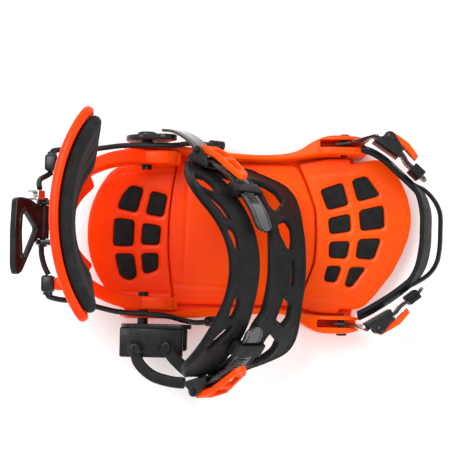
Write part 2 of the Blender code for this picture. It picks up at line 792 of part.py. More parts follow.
def make_hinge_arm():
    boss = arc(PIVOT_X, PIVOT_Z, 16, 100, 330, 12)
    tip = arc(-65, 51, 9, -40, 125, 5)
    arm = arm_outline("hinge_arm_left", boss + tip, ARM_INNER["left"], ARM_OUTER["left"], 1, BLACK)
    return cut(arm, cylinder("arm_hole", (PIVOT_X, 60, PIVOT_Z), (PIVOT_X, 80, PIVOT_Z), BOLT_RADIUS + GAP))


def make_hinge_bracket():
    """Plate on the little-toe side with a shelf that carries the two links."""
    boss = arc(PIVOT_X, PIVOT_Z, 16, 120, 300, 10)
    edge = boss + [(-48, 32), (-42, 40), (-42, 52), (-48, 55)]
    inner, outer = ARM_INNER["right"], ARM_OUTER["right"]
    plate = arm_outline("hinge_bracket_right", edge, inner, outer, -1, BLACK)
    shelf = box("shelf", (-95, -95, 45.9), (-48, 1 - outer, 51.7), BLACK, bevel=2)
    lower = box("lower_block", (-71, -90, 34), (-45, 1 - outer, 48), BLACK, bevel=2)
    joined(plate, shelf, lower)
    cut(plate, cylinder("bracket_hole", (PIVOT_X, -60, PIVOT_Z), (PIVOT_X, -80, PIVOT_Z), BOLT_RADIUS + GAP))
    pocket = cylinder("bolt_pocket", (PIVOT_X, -outer, PIVOT_Z), (PIVOT_X, -outer - 20, PIVOT_Z), 8.2)
    cut(plate, pocket)
    for x, y in LINK_PINS.values():
        cut(plate, cylinder("link_bore", (x, y, 30), (x, y, 70), 2.5 + GAP, sides=12))
    return plate


LINK_PINS = {"rear": (-83, -88.5), "front": (-60, -87)}


def make_link(name, points, half_width, pin_key):
    """A flat link that curves out from its pin on the bracket to the strap's end."""
    x, y = LINK_PINS[pin_key]
    centre = smooth_route([(*p, 0) for p in points], 9)
    left, right = [], []
    for i, point in enumerate(centre):
        before, after = centre[max(i - 1, 0)], centre[min(i + 1, len(centre) - 1)]
        along = (after - before).normalized()
        normal = Vector((-along.y, along.x, 0)) * half_width
        left.append((point + normal)[:2])
        right.append((point - normal)[:2])
    link = outline(name, [left + right[::-1]], 52.0, 58.0, BLACK)
    link = joined(link, cylinder(name + "_eye", (x, y, 52.0), (x, y, 58.0), 6.0, BLACK, 16))
    return cut(link, cylinder(name + "_bore", (x, y, 40), (x, y, 70), 2.5 + GAP, sides=12))


def make_link_pin(name, key):
    x, y = LINK_PINS[key]
    profile = [(0, 16.6), (4.2, 16.6), (4.8, 15.8), (4.8, 14.4), (2.5, 14.4), (2.5, 0), (0, 0)]
    return turned(name, profile, (x, y, 44.2), (x, y, 60), DARK_STEEL, steps=14)


# ---------------------------------------------------------------- straps


# Both bands, by distance along the arch: rear edge, rear and front of the windows, front edge
UPPER_BAND = [
    (8, -6, -3.5, 0, 5.5), (18, -14.5, -10, -4, 5.5), (27, -23, -17, -8, 5.5), (34, -27.5, -20, -10.5, 5.5),
    (44.5, -33, -26.5, -10, 5), (55, -35.5, -25, -13.5, 4), (60, -35.5, -28, -20.5, 3.5),
    (70, -34, -25, -17, 3.5), (81, -30.5, -21.5, -16, 3.5), (87, -28.5, -22.8, -16, 4),
    (95, -26, -21, -14.8, 5), (103, -24, -19, -15, 5.5), (113, -22.5, -18, -13, 6),
    (124, -22.3, -17, -11.5, 6), (135.5, -22.7, -16, -11.3, 6), (143, -24, -16.5, -9.8, 6),
    (150.5, -25.5, -16.5, -11, 6), (156, -27.5, -14.5, -9.5, 6), (165, -29.5, -21, -14, 5.5),
    (175, -31, -25.5, -21, 3.5), (187, -31, -24, -12, 3.5), (200, -28, -20, -8, 5),
    (212, -18, -12, -4, 5.5),
]
UPPER_WINDOWS = {3, 4, 6, 7, 9, 10, 14, 15, 17, 18}
LOWER_BAND = [
    (8, 9.5, 20, 46, 62), (18, 11, 24, 48, 66.5), (27, 18, 32, 50, 71.5), (34, 28, 38.5, 50, 75),
    (45, 33, 38, 56, 74.5), (57, 30.5, 35.5, 54, 71), (67, 27, 33, 41, 66.5), (80, 23, 31.5, 44.5, 60),
    (90, 20, 31, 44.5, 57.5), (100, 18, 34, 41, 56.3), (107.5, 17.3, 38.7, 43, 55.8),
    (116, 17, 38.8, 43.3, 55.5), (125.5, 17, 38.8, 43.3, 55.7), (134.5, 17.5, 35, 41, 56.5),
    (144, 17, 33.8, 45, 58), (154, 13, 33, 43.5, 60.5), (163, 11.5, 31.5, 38, 62.5),
    (175, 11, 31.5, 45, 63.3), (189, 10.5, 32, 40, 52.5), (200, 10, 25, 35, 42), (212, 9.5, 18, 25, 34),
]
LOWER_WINDOWS = {3, 4, 5, 7, 8, 10, 11, 13, 14, 16, 17}


def make_band(name, table, windows):
    """One band of the ankle strap, with windows between the second and third of its rows."""
    grid = [[arch_point(row[0], row[k]) for row in table] for k in range(1, 5)]
    return grid_shell(name, grid, {(1, c) for c in windows}, STRAP_THICKNESS, STRAP)


BUCKLE_LIFT = 3.6
# A buckle's frame plate touches its strap at the plate's middle, this far along from the lever's pin
SEAT = Matrix.Translation((-0.0035, 0, 0))
LADDER_LIFT = 8.8


def make_ankle_ladder(tag, start, end, root):
    """A ladder between two places along the arch, with its root on the hinge plate's side."""
    count = 12
    grid = [[], []]
    for x, y, z in root:
        for row, w in zip(grid, (-LADDER_HALF_WIDTH, LADDER_HALF_WIDTH)):
            c, n = math.cos(STRAP_LEAN), math.sin(STRAP_LEAN)
            row.append(Vector((x + n * w, y, z - c * w)))
    for i in range(count):
        u = start + (end - start) * i / (count - 1)
        lift = LADDER_LIFT - 1.6 * ease(i / (count - 1), 0.4, 0.75)
        half = LADDER_HALF_WIDTH * (1 - 0.35 * ease(i / (count - 1), 0.88, 1))
        for row, w in zip(grid, (-half, half)):
            row.append(arch_point(u, LADDER_W + w, lift))
    return grid_shell("ankle_ladder_" + tag, grid, set(), LADDER_THICKNESS, GLOSS, levels=0)


LEVER_BEND_X = 14.5


def make_buckle(tag, frame, reach, droop):
    """Ratchet buckle: frame, lever, pawl and pin, on a local frame whose x runs toward the lever's tip;
    past its bend the lever falls toward the strap by droop for each millimetre."""
    plate = box("buckle_frame_" + tag, (-8, -12.2, 0), (14, 12.2, 2.0), BLACK, frame)
    for side in (1, -1):
        low, high = sorted((side * 9.5, side * 12.2))
        joined(plate, box(f"cheek_{tag}_{side}", (-6, low, 1), (14, high, 11.5), BLACK, frame))
    cut(plate, cylinder("pin_bore_" + tag, (0, -20, 9.4), (0, 20, 9.4), 1.6 + GAP, sides=10, place=frame))
    lever_edge = [(-1.8, -8.8), (8, -8.8), (reach - 4, -5.6), (reach, -2.8)]
    lever_edge += [(x, -y) for x, y in reversed(lever_edge)]
    first = max(reach * 0.45, 13.6)
    second, third = max(reach * 0.54, first + 2.2), reach * 0.83
    windows = [[(6, -5.8), (first, -5), (first, 5), (6, 5.8)]]
    windows.append([(second, -4.8), (third, -3.2), (third, 3.2), (second, 4.8)])
    lever = outline("buckle_lever_" + tag, [lever_edge] + windows, 9.2, 13.6, ORANGE)
    for v in lever.data.vertices:
        v.co.z -= max(0.0, v.co.x - LEVER_BEND_X * MM) * droop
    lever.matrix_world = frame @ lever.matrix_world
    joined(lever, cylinder("barrel_" + tag, (0, -8.8, 9.4), (0, 8.8, 9.4), 2.8, ORANGE, 14, place=frame))
    cut(lever, cylinder("lever_bore_" + tag, (0, -20, 9.4), (0, 20, 9.4), 1.6 + GAP, sides=10, place=frame))
    pawl = box("buckle_pawl_" + tag, (6.6, -4.6, 6.6), (14.4, 4.6, 8.9), PAWL, frame, bevel=0.6)
    profile = [(0, 26.4), (2.6, 26.4), (2.6, 25.5), (1.6, 25.5), (1.6, 0.9), (2.6, 0.9), (2.6, 0), (0, 0)]
    pin = turned("buckle_pin_" + tag, profile, (0, 0, 0), (0, 0, 1), DARK_STEEL, steps=10)
    across = Matrix.Translation(metres((0, -13.2, 9.4))) @ Matrix.Rotation(-math.pi / 2, 4, "X")
    pin.matrix_world = frame @ across
    return plate, lever, pawl, pin


def make_keeper(tag, frame, half_width=14.5):
    """Loop that the ladder's free end is tucked through."""
    block = box("ladder_keeper_" + tag, (-5, -half_width, 0), (5, half_width, 7.4), STRAP, frame)
    return cut(block, box("keeper_slot_" + tag, (-8, -LADDER_HALF_WIDTH - 0.7, 1.5),
                          (8, LADDER_HALF_WIDTH + 0.7, 5.9), place=frame))


def toe_point(t, out, z):
    (x, y), (dx, dy) = spline_at(TOE_CURVE, t)
    return Vector((x - dy * out, y + dx * out, z))


def toe_frame(t, out, turn=1):
    """Local frame on the toe strap: x along it toward the middle, y up or down, z outward."""
    (x, y), (dx, dy) = spline_at(TOE_CURVE, t)
    return local_frame(toe_point(t, out, TOE_BAND_Z), (dx * turn, dy * turn, 0), (0, 0, -turn))


def make_toe_strap():
    columns = 21
    grid = [[], [], [], []]
    for i in range(columns):
        t = 0.05 + 0.935 * i / (columns - 1)
        b = ease(t, 0.315, 0.45) * (1 - ease(t, 0.58, 0.725))
        upper = (-4.5 - 2 * b, 58.5 + 2 * b), (-1.5 + 3.5 * b, 50 - 4 * b)
        lower = (10.8 * b, 46.5 - 11 * b), (0.5 + 12.3 * b, 42 - 12 * b)
        for row, (out, z) in zip(grid, upper + lower):
            row.append(toe_point(t, out, z))
    slots = {(1, c) for c in range(7, 14)}
    return grid_shell("toe_strap", grid, slots, TOE_THICKNESS, STRAP)


def make_toe_ladder(tag, side, start, end, drop_at):
    """A ladder bolted in the base's rail; it drops toward the strap between its buckle and keeper."""
    grid = [[], []]
    rail = RAIL_Y[side]
    root = [(TOE_PIVOT_X - 6, rail, 26.5, 5.5), (TOE_PIVOT_X, rail, 29, 7.5)]
    root += [(TOE_PIVOT_X + 6.5, rail + 0.4, 34, 8.2), (TOE_PIVOT_X + 11, rail + 1.2, 41, 8.3)]
    for x, y, z, half in root:
        grid[0].append((x + 0.5 * half, side * y, z - 0.86 * half))
        grid[1].append((x - 0.5 * half, side * y, z + 0.86 * half))
    count = 12
    for i in range(count):
        t = start + (end - start) * i / (count - 1)
        out = TOE_BUCKLE_LIFT + 5.15 - 2.05 * ease(side * (t - drop_at), -0.022, 0.022)
        grid[0].append(toe_point(t, out, TOE_BAND_Z - LADDER_HALF_WIDTH))
        grid[1].append(toe_point(t, out, TOE_BAND_Z + LADDER_HALF_WIDTH))
    ladder = grid_shell("toe_ladder_" + tag, grid, set(), LADDER_THICKNESS, GLOSS, levels=0)
    bore = cylinder("ladder_eye_" + tag, (TOE_PIVOT_X, side * 60, TOE_PIVOT_Z),
                    (TOE_PIVOT_X, side * 75, TOE_PIVOT_Z), 2.5 + GAP, sides=12)
    return cut(ladder, bore)


def make_toe_bolt(tag, side):
    outer = 76.6 if side > 0 else 75.5
    profile = [(0, outer - 59), (4.2, outer - 59), (4.2, outer - 60), (2.5, outer - 60.6), (2.5, 0.9)]
    profile += [(3.6, 0.9), (3.6, 0), (0, 0)]
    start, end = (TOE_PIVOT_X, side * 59.6, TOE_PIVOT_Z), (TOE_PIVOT_X, side * 80, TOE_PIVOT_Z)
    return turned("toe_bolt_" + tag, profile, start, end, DARK_STEEL, steps=12)


# ---------------------------------------------------------------- assembly

SIDES = ((1, "left"), (-1, "right"))


def build_base():
    make_baseplate()
    make_disc()
    make_heel_footbed()
    make_centre_cover()
    make_toe_ramp()
    heel_base = [(-112, 30), (-106, 42), (-66, 46), (-68, 0), (-66, -46), (-106, -42), (-112, -30)]
    make_cushion("heel_cushion", heel_base, HEEL_BLOCKS, lambda x: HEEL_TOP)
    toe_base = [(50, 44), (58, 50), (96, 50), (110, 30), (110, -8), (88, -44), (54, -44), (54, 0)]
    make_cushion("toe_cushion", toe_base, TOE_BLOCKS, ramp_top)
    for side, tag in SIDES:
        make_pivot_bolt(tag, side)
        make_anchor(tag, side)
        make_toe_bolt(tag, side)


def build_highback():
    pivot = axis_empty("highback_axis", PIVOT_X, 0, PIVOT_Z)
    pieces = [make_heel_loop(), make_highback(), make_highback_pad(), make_lever_pin()]
    for side, tag in SIDES:
        pieces.append(make_loop_screw(tag, side))
        pieces.append(make_cable_guide(tag, side))
        pieces.append(tube("cable_" + tag, smooth_route(side_cable_points(side), 26), CABLE_RADIUS, CABLE))
        rear = smooth_route(rear_cable_points(side), 8)
        pieces.append(tube("cable_rear_" + tag, rear, CABLE_RADIUS, CABLE))
    parent_to(pivot, *pieces)
    lever_axis = axis_empty("lever_axis", LEVER_X, LEVER_Y, LEVER_Z)
    parent_to(lever_axis, make_release_lever(), make_clevis())
    parent_to(pivot, lever_axis)


def build_ankle_strap():
    pivot = axis_empty("ankle_strap_axis", PIVOT_X, 0, PIVOT_Z)
    pieces = [make_hinge_arm(), make_hinge_bracket()]
    pieces.append(make_band("ankle_strap_upper", UPPER_BAND, UPPER_WINDOWS))
    pieces.append(make_band("ankle_strap_lower", LOWER_BAND, LOWER_WINDOWS))
    rear_route = [LINK_PINS["rear"], (-80, -99), (-70, -108), (-57, -112), (-47, -113)]
    front_route = [LINK_PINS["front"], (-55, -94), (-49, -100), (-43, -105)]
    pieces.append(make_link("rear_link", rear_route, 4.2, "rear"))
    pieces.append(make_link("front_link", front_route, 4.6, "front"))
    pieces.append(make_link_pin("rear_link_pin", "rear"))
    pieces.append(make_link_pin("front_link_pin", "front"))
    left_root = [(-61.9, 75, 43.4), (-54.7, 73.5, 50.3), (-46.8, 69, 58), (-39.6, 62.5, 64.9)]
    pieces.append(make_ankle_ladder("left", 12, 91, left_root))
    pieces.append(make_ankle_ladder("right", 223, 154, []))
    rows = ("ankle_left", 17, 1, 58, 0.25), ("ankle_right", 213.5, -1, 170.5, 0.35)
    for tag, u, turn, keep, droop in rows:
        pieces += make_buckle(tag, arch_frame(u, LADDER_W, BUCKLE_LIFT, turn) @ SEAT, 42, droop)
        pieces.append(make_keeper(tag, arch_frame(keep, LADDER_W, BUCKLE_LIFT - 0.1, turn)))
    parent_to(pivot, *pieces)


def build_toe_strap():
    pivot = axis_empty("toe_strap_axis", TOE_PIVOT_X, 0, TOE_PIVOT_Z)
    pieces = [make_toe_strap()]
    pieces.append(make_toe_ladder("left", 1, 0.085, 0.35, 0.235))
    pieces.append(make_toe_ladder("right", -1, 0.99, 0.688, 0.815))
    for tag, t, turn, keep in (("toe_left", 0.160, 1, 0.300), ("toe_right", 0.904, -1, 0.736)):
        pieces += make_buckle(tag, toe_frame(t, TOE_BUCKLE_LIFT, turn) @ SEAT, 26, 0.3)
        pieces.append(make_keeper(tag, toe_frame(keep, TOE_BUCKLE_LIFT - 0.6, turn), 12.0))
    parent_to(pivot, *pieces)


build_base()
build_highback()
build_ankle_strap()
build_toe_strap()
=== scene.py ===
"""Looks of the rear-entry snowboard binding: moulded orange base and highback, rubber straps with
windows, ratchet ladders and buckles, foam cushions, cables and hardware.

Lengths are in millimetres until a mesh is made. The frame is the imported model's: +X to the toe,
+Y to the big-toe side, +Z up, origin at the centre of the mounting disc on the board.
"""

import math

import bmesh
import bpy
import numpy as np
from mathutils import Matrix, Vector
from mathutils.geometry import delaunay_2d_cdt


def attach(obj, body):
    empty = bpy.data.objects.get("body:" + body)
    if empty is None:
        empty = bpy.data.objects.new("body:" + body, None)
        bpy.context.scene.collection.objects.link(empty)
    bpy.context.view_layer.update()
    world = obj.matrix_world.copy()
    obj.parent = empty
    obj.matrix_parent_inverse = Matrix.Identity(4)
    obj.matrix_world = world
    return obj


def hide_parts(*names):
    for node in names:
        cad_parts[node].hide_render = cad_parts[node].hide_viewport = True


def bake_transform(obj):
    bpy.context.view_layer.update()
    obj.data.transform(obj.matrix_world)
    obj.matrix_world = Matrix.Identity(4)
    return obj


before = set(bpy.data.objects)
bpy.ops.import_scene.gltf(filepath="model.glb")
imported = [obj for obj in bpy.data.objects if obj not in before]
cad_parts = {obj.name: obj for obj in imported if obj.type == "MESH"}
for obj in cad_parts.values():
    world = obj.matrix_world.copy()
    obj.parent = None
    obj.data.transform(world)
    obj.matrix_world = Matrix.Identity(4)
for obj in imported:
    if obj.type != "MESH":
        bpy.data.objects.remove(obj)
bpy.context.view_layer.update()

MM = 0.001
SIDES = ((1, "left"), (-1, "right"))

# Driving sizes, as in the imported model
FLOOR_TOP, SHEET_TOP, HEEL_TOP, CENTRE_TOP, RAMP_REAR_TOP = 7.6, 10.0, 16.0, 13.0, 16.0
RAMP_REAR_X, RAMP_SLOPE = 40.0, 0.075
PIVOT_X, PIVOT_Z = -79.0, 38.0
STRAP_LEAN = math.radians(44)
STRAP_THICKNESS = 5.0
LADDER_W, LADDER_HALF_WIDTH, LADDER_THICKNESS = 8.0, 8.4, 2.4
BUCKLE_LIFT, LADDER_LIFT, TOE_BUCKLE_LIFT = 3.6, 8.8, 4.2
TOE_BAND_Z = 50.0
TOE_PIVOT_X, TOE_PIVOT_Z = 71.0, 29.0
LEVER_BEND_X = 14.5
RAIL_Y = {1: 69.4, -1: 67.0}
ARM_INNER = {"left": 67.2, "right": 70.2}
ARM_OUTER = {"left": 71.2, "right": 73.6}


# ---------------------------------------------------------------- materials


class Nodes:
    """A material's node tree, with short calls for the nodes used here."""

    def __init__(self, name):
        self.material = bpy.data.materials.new(name)
        self.material.use_nodes = True
        self.tree = self.material.node_tree
        self.shader = self.tree.nodes["Principled BSDF"]
        self.place = self.add("ShaderNodeTexCoord").outputs["Object"]

    def add(self, kind, **settings):
        node = self.tree.nodes.new(kind)
        for key, value in settings.items():
            setattr(node, key, value)
        return node

    def link(self, output, target):
        self.tree.links.new(output, target)

    def noise(self, scale, detail=3.0, rough=0.55, stretch=(1, 1, 1)):
        """Noise whose scale is in bumps per metre."""
        turn = self.add("ShaderNodeMapping")
        turn.inputs["Scale"].default_value = stretch
        self.link(self.place, turn.inputs["Vector"])
        node = self.add("ShaderNodeTexNoise")
        node.inputs["Scale"].default_value = scale
        node.inputs["Detail"].default_value = detail
        node.inputs["Roughness"].default_value = rough
        self.link(turn.outputs["Vector"], node.inputs["Vector"])
        return node.outputs["Fac"]

    def cells(self, scale):
        node = self.add("ShaderNodeTexVoronoi", feature="F1")
        node.inputs["Scale"].default_value = scale
        self.link(self.place, node.inputs["Vector"])
        return node.outputs["Distance"]

    def band(self, value, low, high, to_low, to_high):
        node = self.add("ShaderNodeMapRange", clamp=True)
        for key, number in (("From Min", low), ("From Max", high), ("To Min", to_low), ("To Max", to_high)):
            node.inputs[key].default_value = number
        self.link(value, node.inputs["Value"])
        return node.outputs["Result"]

    def mixed(self, share, first, second):
        node = self.add("ShaderNodeMix", data_type="RGBA")
        self.link(share, node.inputs["Factor"])
        for key, colour in (("A", first), ("B", second)):
            socket = [s for s in node.inputs if s.name == key and s.type == "RGBA"][0]
            if isinstance(colour, tuple):
                socket.default_value = (*colour, 1)
            else:
                self.link(colour, socket)
        return [s for s in node.outputs if s.type == "RGBA"][0]

    def bumps(self, layers):
        """Bump from (height output, depth in millimetres) pairs, one on top of the other."""
        normal = None
        for height, depth in layers:
            node = self.add("ShaderNodeBump")
            node.inputs["Distance"].default_value = depth * MM
            self.link(height, node.inputs["Height"])
            if normal is not None:
                self.link(normal, node.inputs["Normal"])
            normal = node.outputs["Normal"]
        self.link(normal, self.shader.inputs["Normal"])

    def finish(self, colour, roughness, metallic=0.0, coat=0.0, sheen=0.0, specular=0.5):
        self.link(colour, self.shader.inputs["Base Color"])
        self.link(roughness, self.shader.inputs["Roughness"])
        self.shader.inputs["Metallic"].default_value = metallic
        self.shader.inputs["Coat Weight"].default_value = coat
        self.shader.inputs["Coat Roughness"].default_value = 0.12
        self.shader.inputs["Sheen Weight"].default_value = sheen
        self.shader.inputs["Specular IOR Level"].default_value = specular
        return self.material

    def worn(self, colour, lighter, amount=0.5):
        """The colour with a lighter tone along raised edges, broken up by noise."""
        edge = self.band(self.add("ShaderNodeNewGeometry").outputs["Pointiness"], 0.53, 0.62, 0, amount)
        rub = self.band(self.noise(420, 4), 0.42, 0.62, 0.2, 1)
        both = self.add("ShaderNodeMath", operation="MULTIPLY")
        self.link(edge, both.inputs[0])
        self.link(rub, both.inputs[1])
        return self.mixed(both.outputs[0], colour, lighter)


def orange_material():
    """Glossy moulded nylon in broad clouds of tone, with painted shade making it redder toward the heel, and
    a fine orange-peel face.
    """
    n = Nodes("orange_moulded")
    cloud = n.band(n.noise(22, 2), 0.35, 0.65, 0, 1)
    split = n.add("ShaderNodeSeparateXYZ")
    n.link(n.place, split.inputs["Vector"])
    # Painted shade: a deeper, redder orange at the heel end that fades out toward the toe.
    out_of_heel_shade = n.band(split.outputs["X"], -0.1, -0.01, 0, 1)
    heel = n.mixed(cloud, (1.0, 0.032, 0.0), (1.0, 0.044, 0.0))
    tone = n.mixed(out_of_heel_shade, heel, n.mixed(cloud, (1.0, 0.066, 0.0), (1.0, 0.086, 0.0)))
    tone = n.worn(tone, (1.0, 0.17, 0.01), 0.35)
    n.bumps([(n.noise(260, 2), 0.03), (n.noise(1900, 3), 0.01)])
    return n.finish(tone, n.band(n.noise(90, 4), 0.3, 0.7, 0.2, 0.32), coat=0.03, specular=0.12)


def rubber_material():
    """Matte moulded strap rubber with a pebbled grain, rubbed lighter along its rims."""
    n = Nodes("strap_moulded")
    cloud = n.band(n.noise(60, 3), 0.35, 0.65, 0, 1)
    tone = n.worn(n.mixed(cloud, (0.006, 0.006, 0.0063), (0.011, 0.011, 0.0115)), (0.05, 0.05, 0.052), 0.6)
    n.bumps([(n.cells(1500), 0.07), (n.noise(2600, 2), 0.03)])
    return n.finish(tone, n.band(n.noise(300, 4), 0.3, 0.7, 0.4, 0.56), specular=0.12)


def plastic_material():
    """Satin moulded black with a spark-eroded grain."""
    n = Nodes("black_moulded")
    cloud = n.band(n.noise(80, 3), 0.35, 0.65, 0, 1)
    tone = n.worn(n.mixed(cloud, (0.005, 0.005, 0.0055), (0.01, 0.01, 0.011)), (0.05, 0.05, 0.052), 0.5)
    n.bumps([(n.noise(1700, 3), 0.02)])
    return n.finish(tone, n.band(n.noise(220, 4), 0.3, 0.7, 0.2, 0.36), coat=0.05, specular=0.28)


def ladder_material():
    """Glossy ladder plastic with faint scuffs along its length."""
    n = Nodes("ladder_moulded")
    tone = n.worn(n.mixed(n.noise(150, 3), (0.006, 0.006, 0.007), (0.013, 0.013, 0.014)), (0.08, 0.08, 0.08))
    n.bumps([(n.noise(240, 2), 0.02)])
    return n.finish(tone, n.band(n.noise(500, 5, 0.7), 0.35, 0.7, 0.08, 0.24), coat=0.6)


def foam_material():
    """Closed-cell foam: fine pores over soft mottling."""
    n = Nodes("foam_closed_cell")
    tone = n.mixed(n.band(n.noise(140, 4), 0.3, 0.7, 0, 1), (0.009, 0.009, 0.0095), (0.017, 0.017, 0.018))
    n.bumps([(n.cells(1100), 0.16), (n.noise(3200, 3), 0.09)])
    return n.finish(tone, n.band(n.noise(400, 3), 0.3, 0.7, 0.78, 0.94), sheen=0.03, specular=0.15)


def steel_material(name, low, high, roughness):
    """Turned or brushed metal, its brush marks drawn out along the binding's width."""
    n = Nodes(name)
    brush = n.noise(1400, 4, 0.7, stretch=(1, 0.06, 1))
    n.bumps([(brush, 0.015)])
    tone = n.mixed(n.band(brush, 0.3, 0.7, 0, 1), (low,) * 3, (high,) * 3)
    return n.finish(tone, n.band(brush, 0.3, 0.7, roughness - 0.06, roughness + 0.1), metallic=1.0)


def jacket_material():
    """Extruded cable jacket with a fine braid."""
    n = Nodes("cable_jacket_extruded")
    tone = n.mixed(n.band(n.noise(700, 2), 0.4, 0.6, 0, 1), (0.007, 0.007, 0.008), (0.016, 0.016, 0.017))
    n.bumps([(n.cells(1300), 0.06)])
    return n.finish(tone, n.band(n.noise(300, 3), 0.3, 0.7, 0.34, 0.5), specular=0.25)


def pawl_material():
    n = Nodes("pawl_moulded")
    tone = n.mixed(n.band(n.noise(120, 3), 0.35, 0.65, 0, 1), (0.05, 0.005, 0.004), (0.09, 0.01, 0.007))
    n.bumps([(n.noise(900, 3), 0.03)])
    return n.finish(tone, n.band(n.noise(200, 4), 0.3, 0.7, 0.3, 0.42))


ORANGE = (orange_material(), "orange_plastic")
RUBBER = (rubber_material(), "strap_rubber")
BLACK = (plastic_material(), "black_plastic")
GLOSS = (ladder_material(), "ladder_plastic")
FOAM = (foam_material(), "eva_foam")
STEEL = (steel_material("steel_brushed", 0.45, 0.62, 0.26), "bright_steel")
DARK_STEEL = (steel_material("steel_blackened", 0.022, 0.04, 0.34), "black_steel")
JACKET = (jacket_material(), "cable_jacket")
PAWL = (pawl_material(), "red_plastic")


# ---------------------------------------------------------------- mesh helpers


def mesh_piece(name, verts, faces, look, body=None, replaces=(), into=None):
    """A smooth mesh piece from millimetre points; it rides on a body and replaces CAD nodes."""
    mesh = bpy.data.meshes.new(name)
    points = [Vector(v) * MM for v in verts]
    if into is not None:
        points = [into @ p for p in points]
    mesh.from_pydata(points, [], faces)
    mesh.validate()
    bm = bmesh.new()
    bm.from_mesh(mesh)
    bmesh.ops.remove_doubles(bm, verts=bm.verts, dist=1e-7)
    bmesh.ops.recalc_face_normals(bm, faces=bm.faces)
    if bm.calc_volume(signed=True) < 0:
        bmesh.ops.reverse_faces(bm, faces=bm.faces)
    bm.to_mesh(mesh)
    bm.free()
    mesh.shade_smooth()
    mesh.set_sharp_from_angle(angle=math.radians(40))
    made = bpy.data.objects.new(name, mesh)
    bpy.context.scene.collection.objects.link(made)
    mesh.materials.append(look[0])
    if body:
        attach(made, body)
    if replaces:
        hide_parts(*replaces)
    return made


def joined(name, parts, body=None, replaces=()):
    """Several loose pieces as one object that keeps the first one's material and slot."""
    target = parts[0]
    bm = bmesh.new()
    for part in parts:
        part.data.transform(part.matrix_world)
        bm.from_mesh(part.data)
    bm.to_mesh(target.data)
    bm.free()
    target.matrix_world = Matrix.Identity(4)
    for part in parts[1:]:
        bpy.data.objects.remove(part)
    target.name = name
    target.data.set_sharp_from_angle(angle=math.radians(40))
    if body:
        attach(target, body)
    if replaces:
        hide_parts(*replaces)
    return target


def cut_out(target, *tools):
    """The target with the tools' shapes taken out, as plain mesh."""
    for tool in tools:
        step = target.modifiers.new("cut", "BOOLEAN")
        step.operation = "DIFFERENCE"
        step.solver = "EXACT"
        step.object = tool
    graph = bpy.context.evaluated_depsgraph_get()
    mesh = bpy.data.meshes.new_from_object(target.evaluated_get(graph))
    target.modifiers.clear()
    target.data = mesh
    for tool in tools:
        bpy.data.objects.remove(tool)
    mesh.shade_smooth()
    mesh.set_sharp_from_angle(angle=math.radians(35))
    return target


def ease(value, low, high):
    f = min(max((value - low) / (high - low), 0.0), 1.0)
    return f * f * (3 - 2 * f)


def spline_at(points, t):
    """Point and direction at share t of a smooth curve through the points."""
    last = len(points) - 1
    where = min(max(t, 0.0), 1.0) * last
    i = min(int(where), last - 1)
    f = where - i
    p1, p2 = Vector(points[i]), Vector(points[i + 1])
    p0 = Vector(points[i - 1]) if i > 0 else p1 * 2 - p2
    p3 = Vector(points[i + 2]) if i + 2 <= last else p2 * 2 - p1
    a, b, c = (p2 - p0) / 2, p0 - p1 * 2.5 + p2 * 2 - p3 / 2, (p1 - p2) * 1.5 + (p3 - p0) / 2
    return p1 + a * f + b * f * f + c * f ** 3, (a + b * 2 * f + c * 3 * f * f).normalized()


def route(points, count):
    return [spline_at(points, i / (count - 1))[0] for i in range(count)]


def round_loop(loop, radius, steps=5):
    """The loop with each corner replaced by a short curve."""
    out = []
    for i, corner in enumerate(loop):
        corner = Vector(corner)
        before = Vector(loop[i - 1]) - corner
        after = Vector(loop[(i + 1) % len(loop)]) - corner
        reach = min(radius, before.length * 0.48, after.length * 0.48)
        a, b = corner + before.normalized() * reach, corner + after.normalized() * reach
        for k in range(steps + 1):
            t = k / steps
            out.append(tuple(a * (1 - t) ** 2 + corner * 2 * t * (1 - t) + b * t * t))
    return out


def soft_loop(loop, per=6):
    """A smooth closed curve through the loop's points."""
    count = len(loop)
    out = []
    for i in range(count):
        four = [loop[(i + k) % count] for k in (-1, 0, 1, 2)]
        out += [tuple(spline_at(four, (1 + k / per) / 3)[0]) for k in range(per)]
    return out


def shrunk(loop, factor):
    centre = sum((Vector(p) for p in loop), Vector((0, 0))) / len(loop)
    return [tuple(centre + (Vector(p) - centre) * factor) for p in loop]


def resampled(loop, step):
    out = []
    for a, b in zip(loop, loop[1:] + loop[:1]):
        a, b = Vector(a), Vector(b)
        parts = max(1, math.ceil((b - a).length / step))
        out += [a + (b - a) * (k / parts) for k in range(parts) if (b - a).length > 1e-4]
    return np.array([tuple(p) for p in out])


def inside_distance(points, loops):
    """Distance to the nearest edge of each point, negative outside the outline or in a hole."""
    least = np.full(len(points), 1e9)
    inside = np.zeros(len(points), bool)
    for loop in loops:
        a = loop
        b = np.roll(loop, -1, axis=0)
        d = b - a
        away = points[:, None, :] - a[None]
        t = np.clip((away * d).sum(2) / (d * d).sum(1), 0, 1)
        least = np.minimum(least, np.linalg.norm(away - t[..., None] * d, axis=2).min(1))
        x, y = points[:, 0:1], points[:, 1:2]
        crosses = (a[:, 1] > y) != (b[:, 1] > y)
        rise = np.where(np.abs(d[:, 1]) < 1e-12, 1e-12, d[:, 1])
        inside ^= ((crosses & (x < a[:, 0] + (y - a[:, 1]) * d[:, 0] / rise)).sum(1) % 2).astype(bool)
    return np.where(inside, least, -least)


def inset_points(loops, depths):
    """Points at each depth inside the outline, opposite its own points."""
    out = []
    for loop in loops:
        along = np.roll(loop, -1, axis=0) - np.roll(loop, 1, axis=0)
        normal = np.stack([-along[:, 1], along[:, 0]], 1)
        normal /= np.maximum(np.linalg.norm(normal, axis=1), 1e-9)[:, None]
        for depth in depths:
            for sign in (1, -1):
                moved = loop + normal * depth * sign
                out.append(moved[inside_distance(moved, loops) > depth * 0.86])
    return np.concatenate(out)


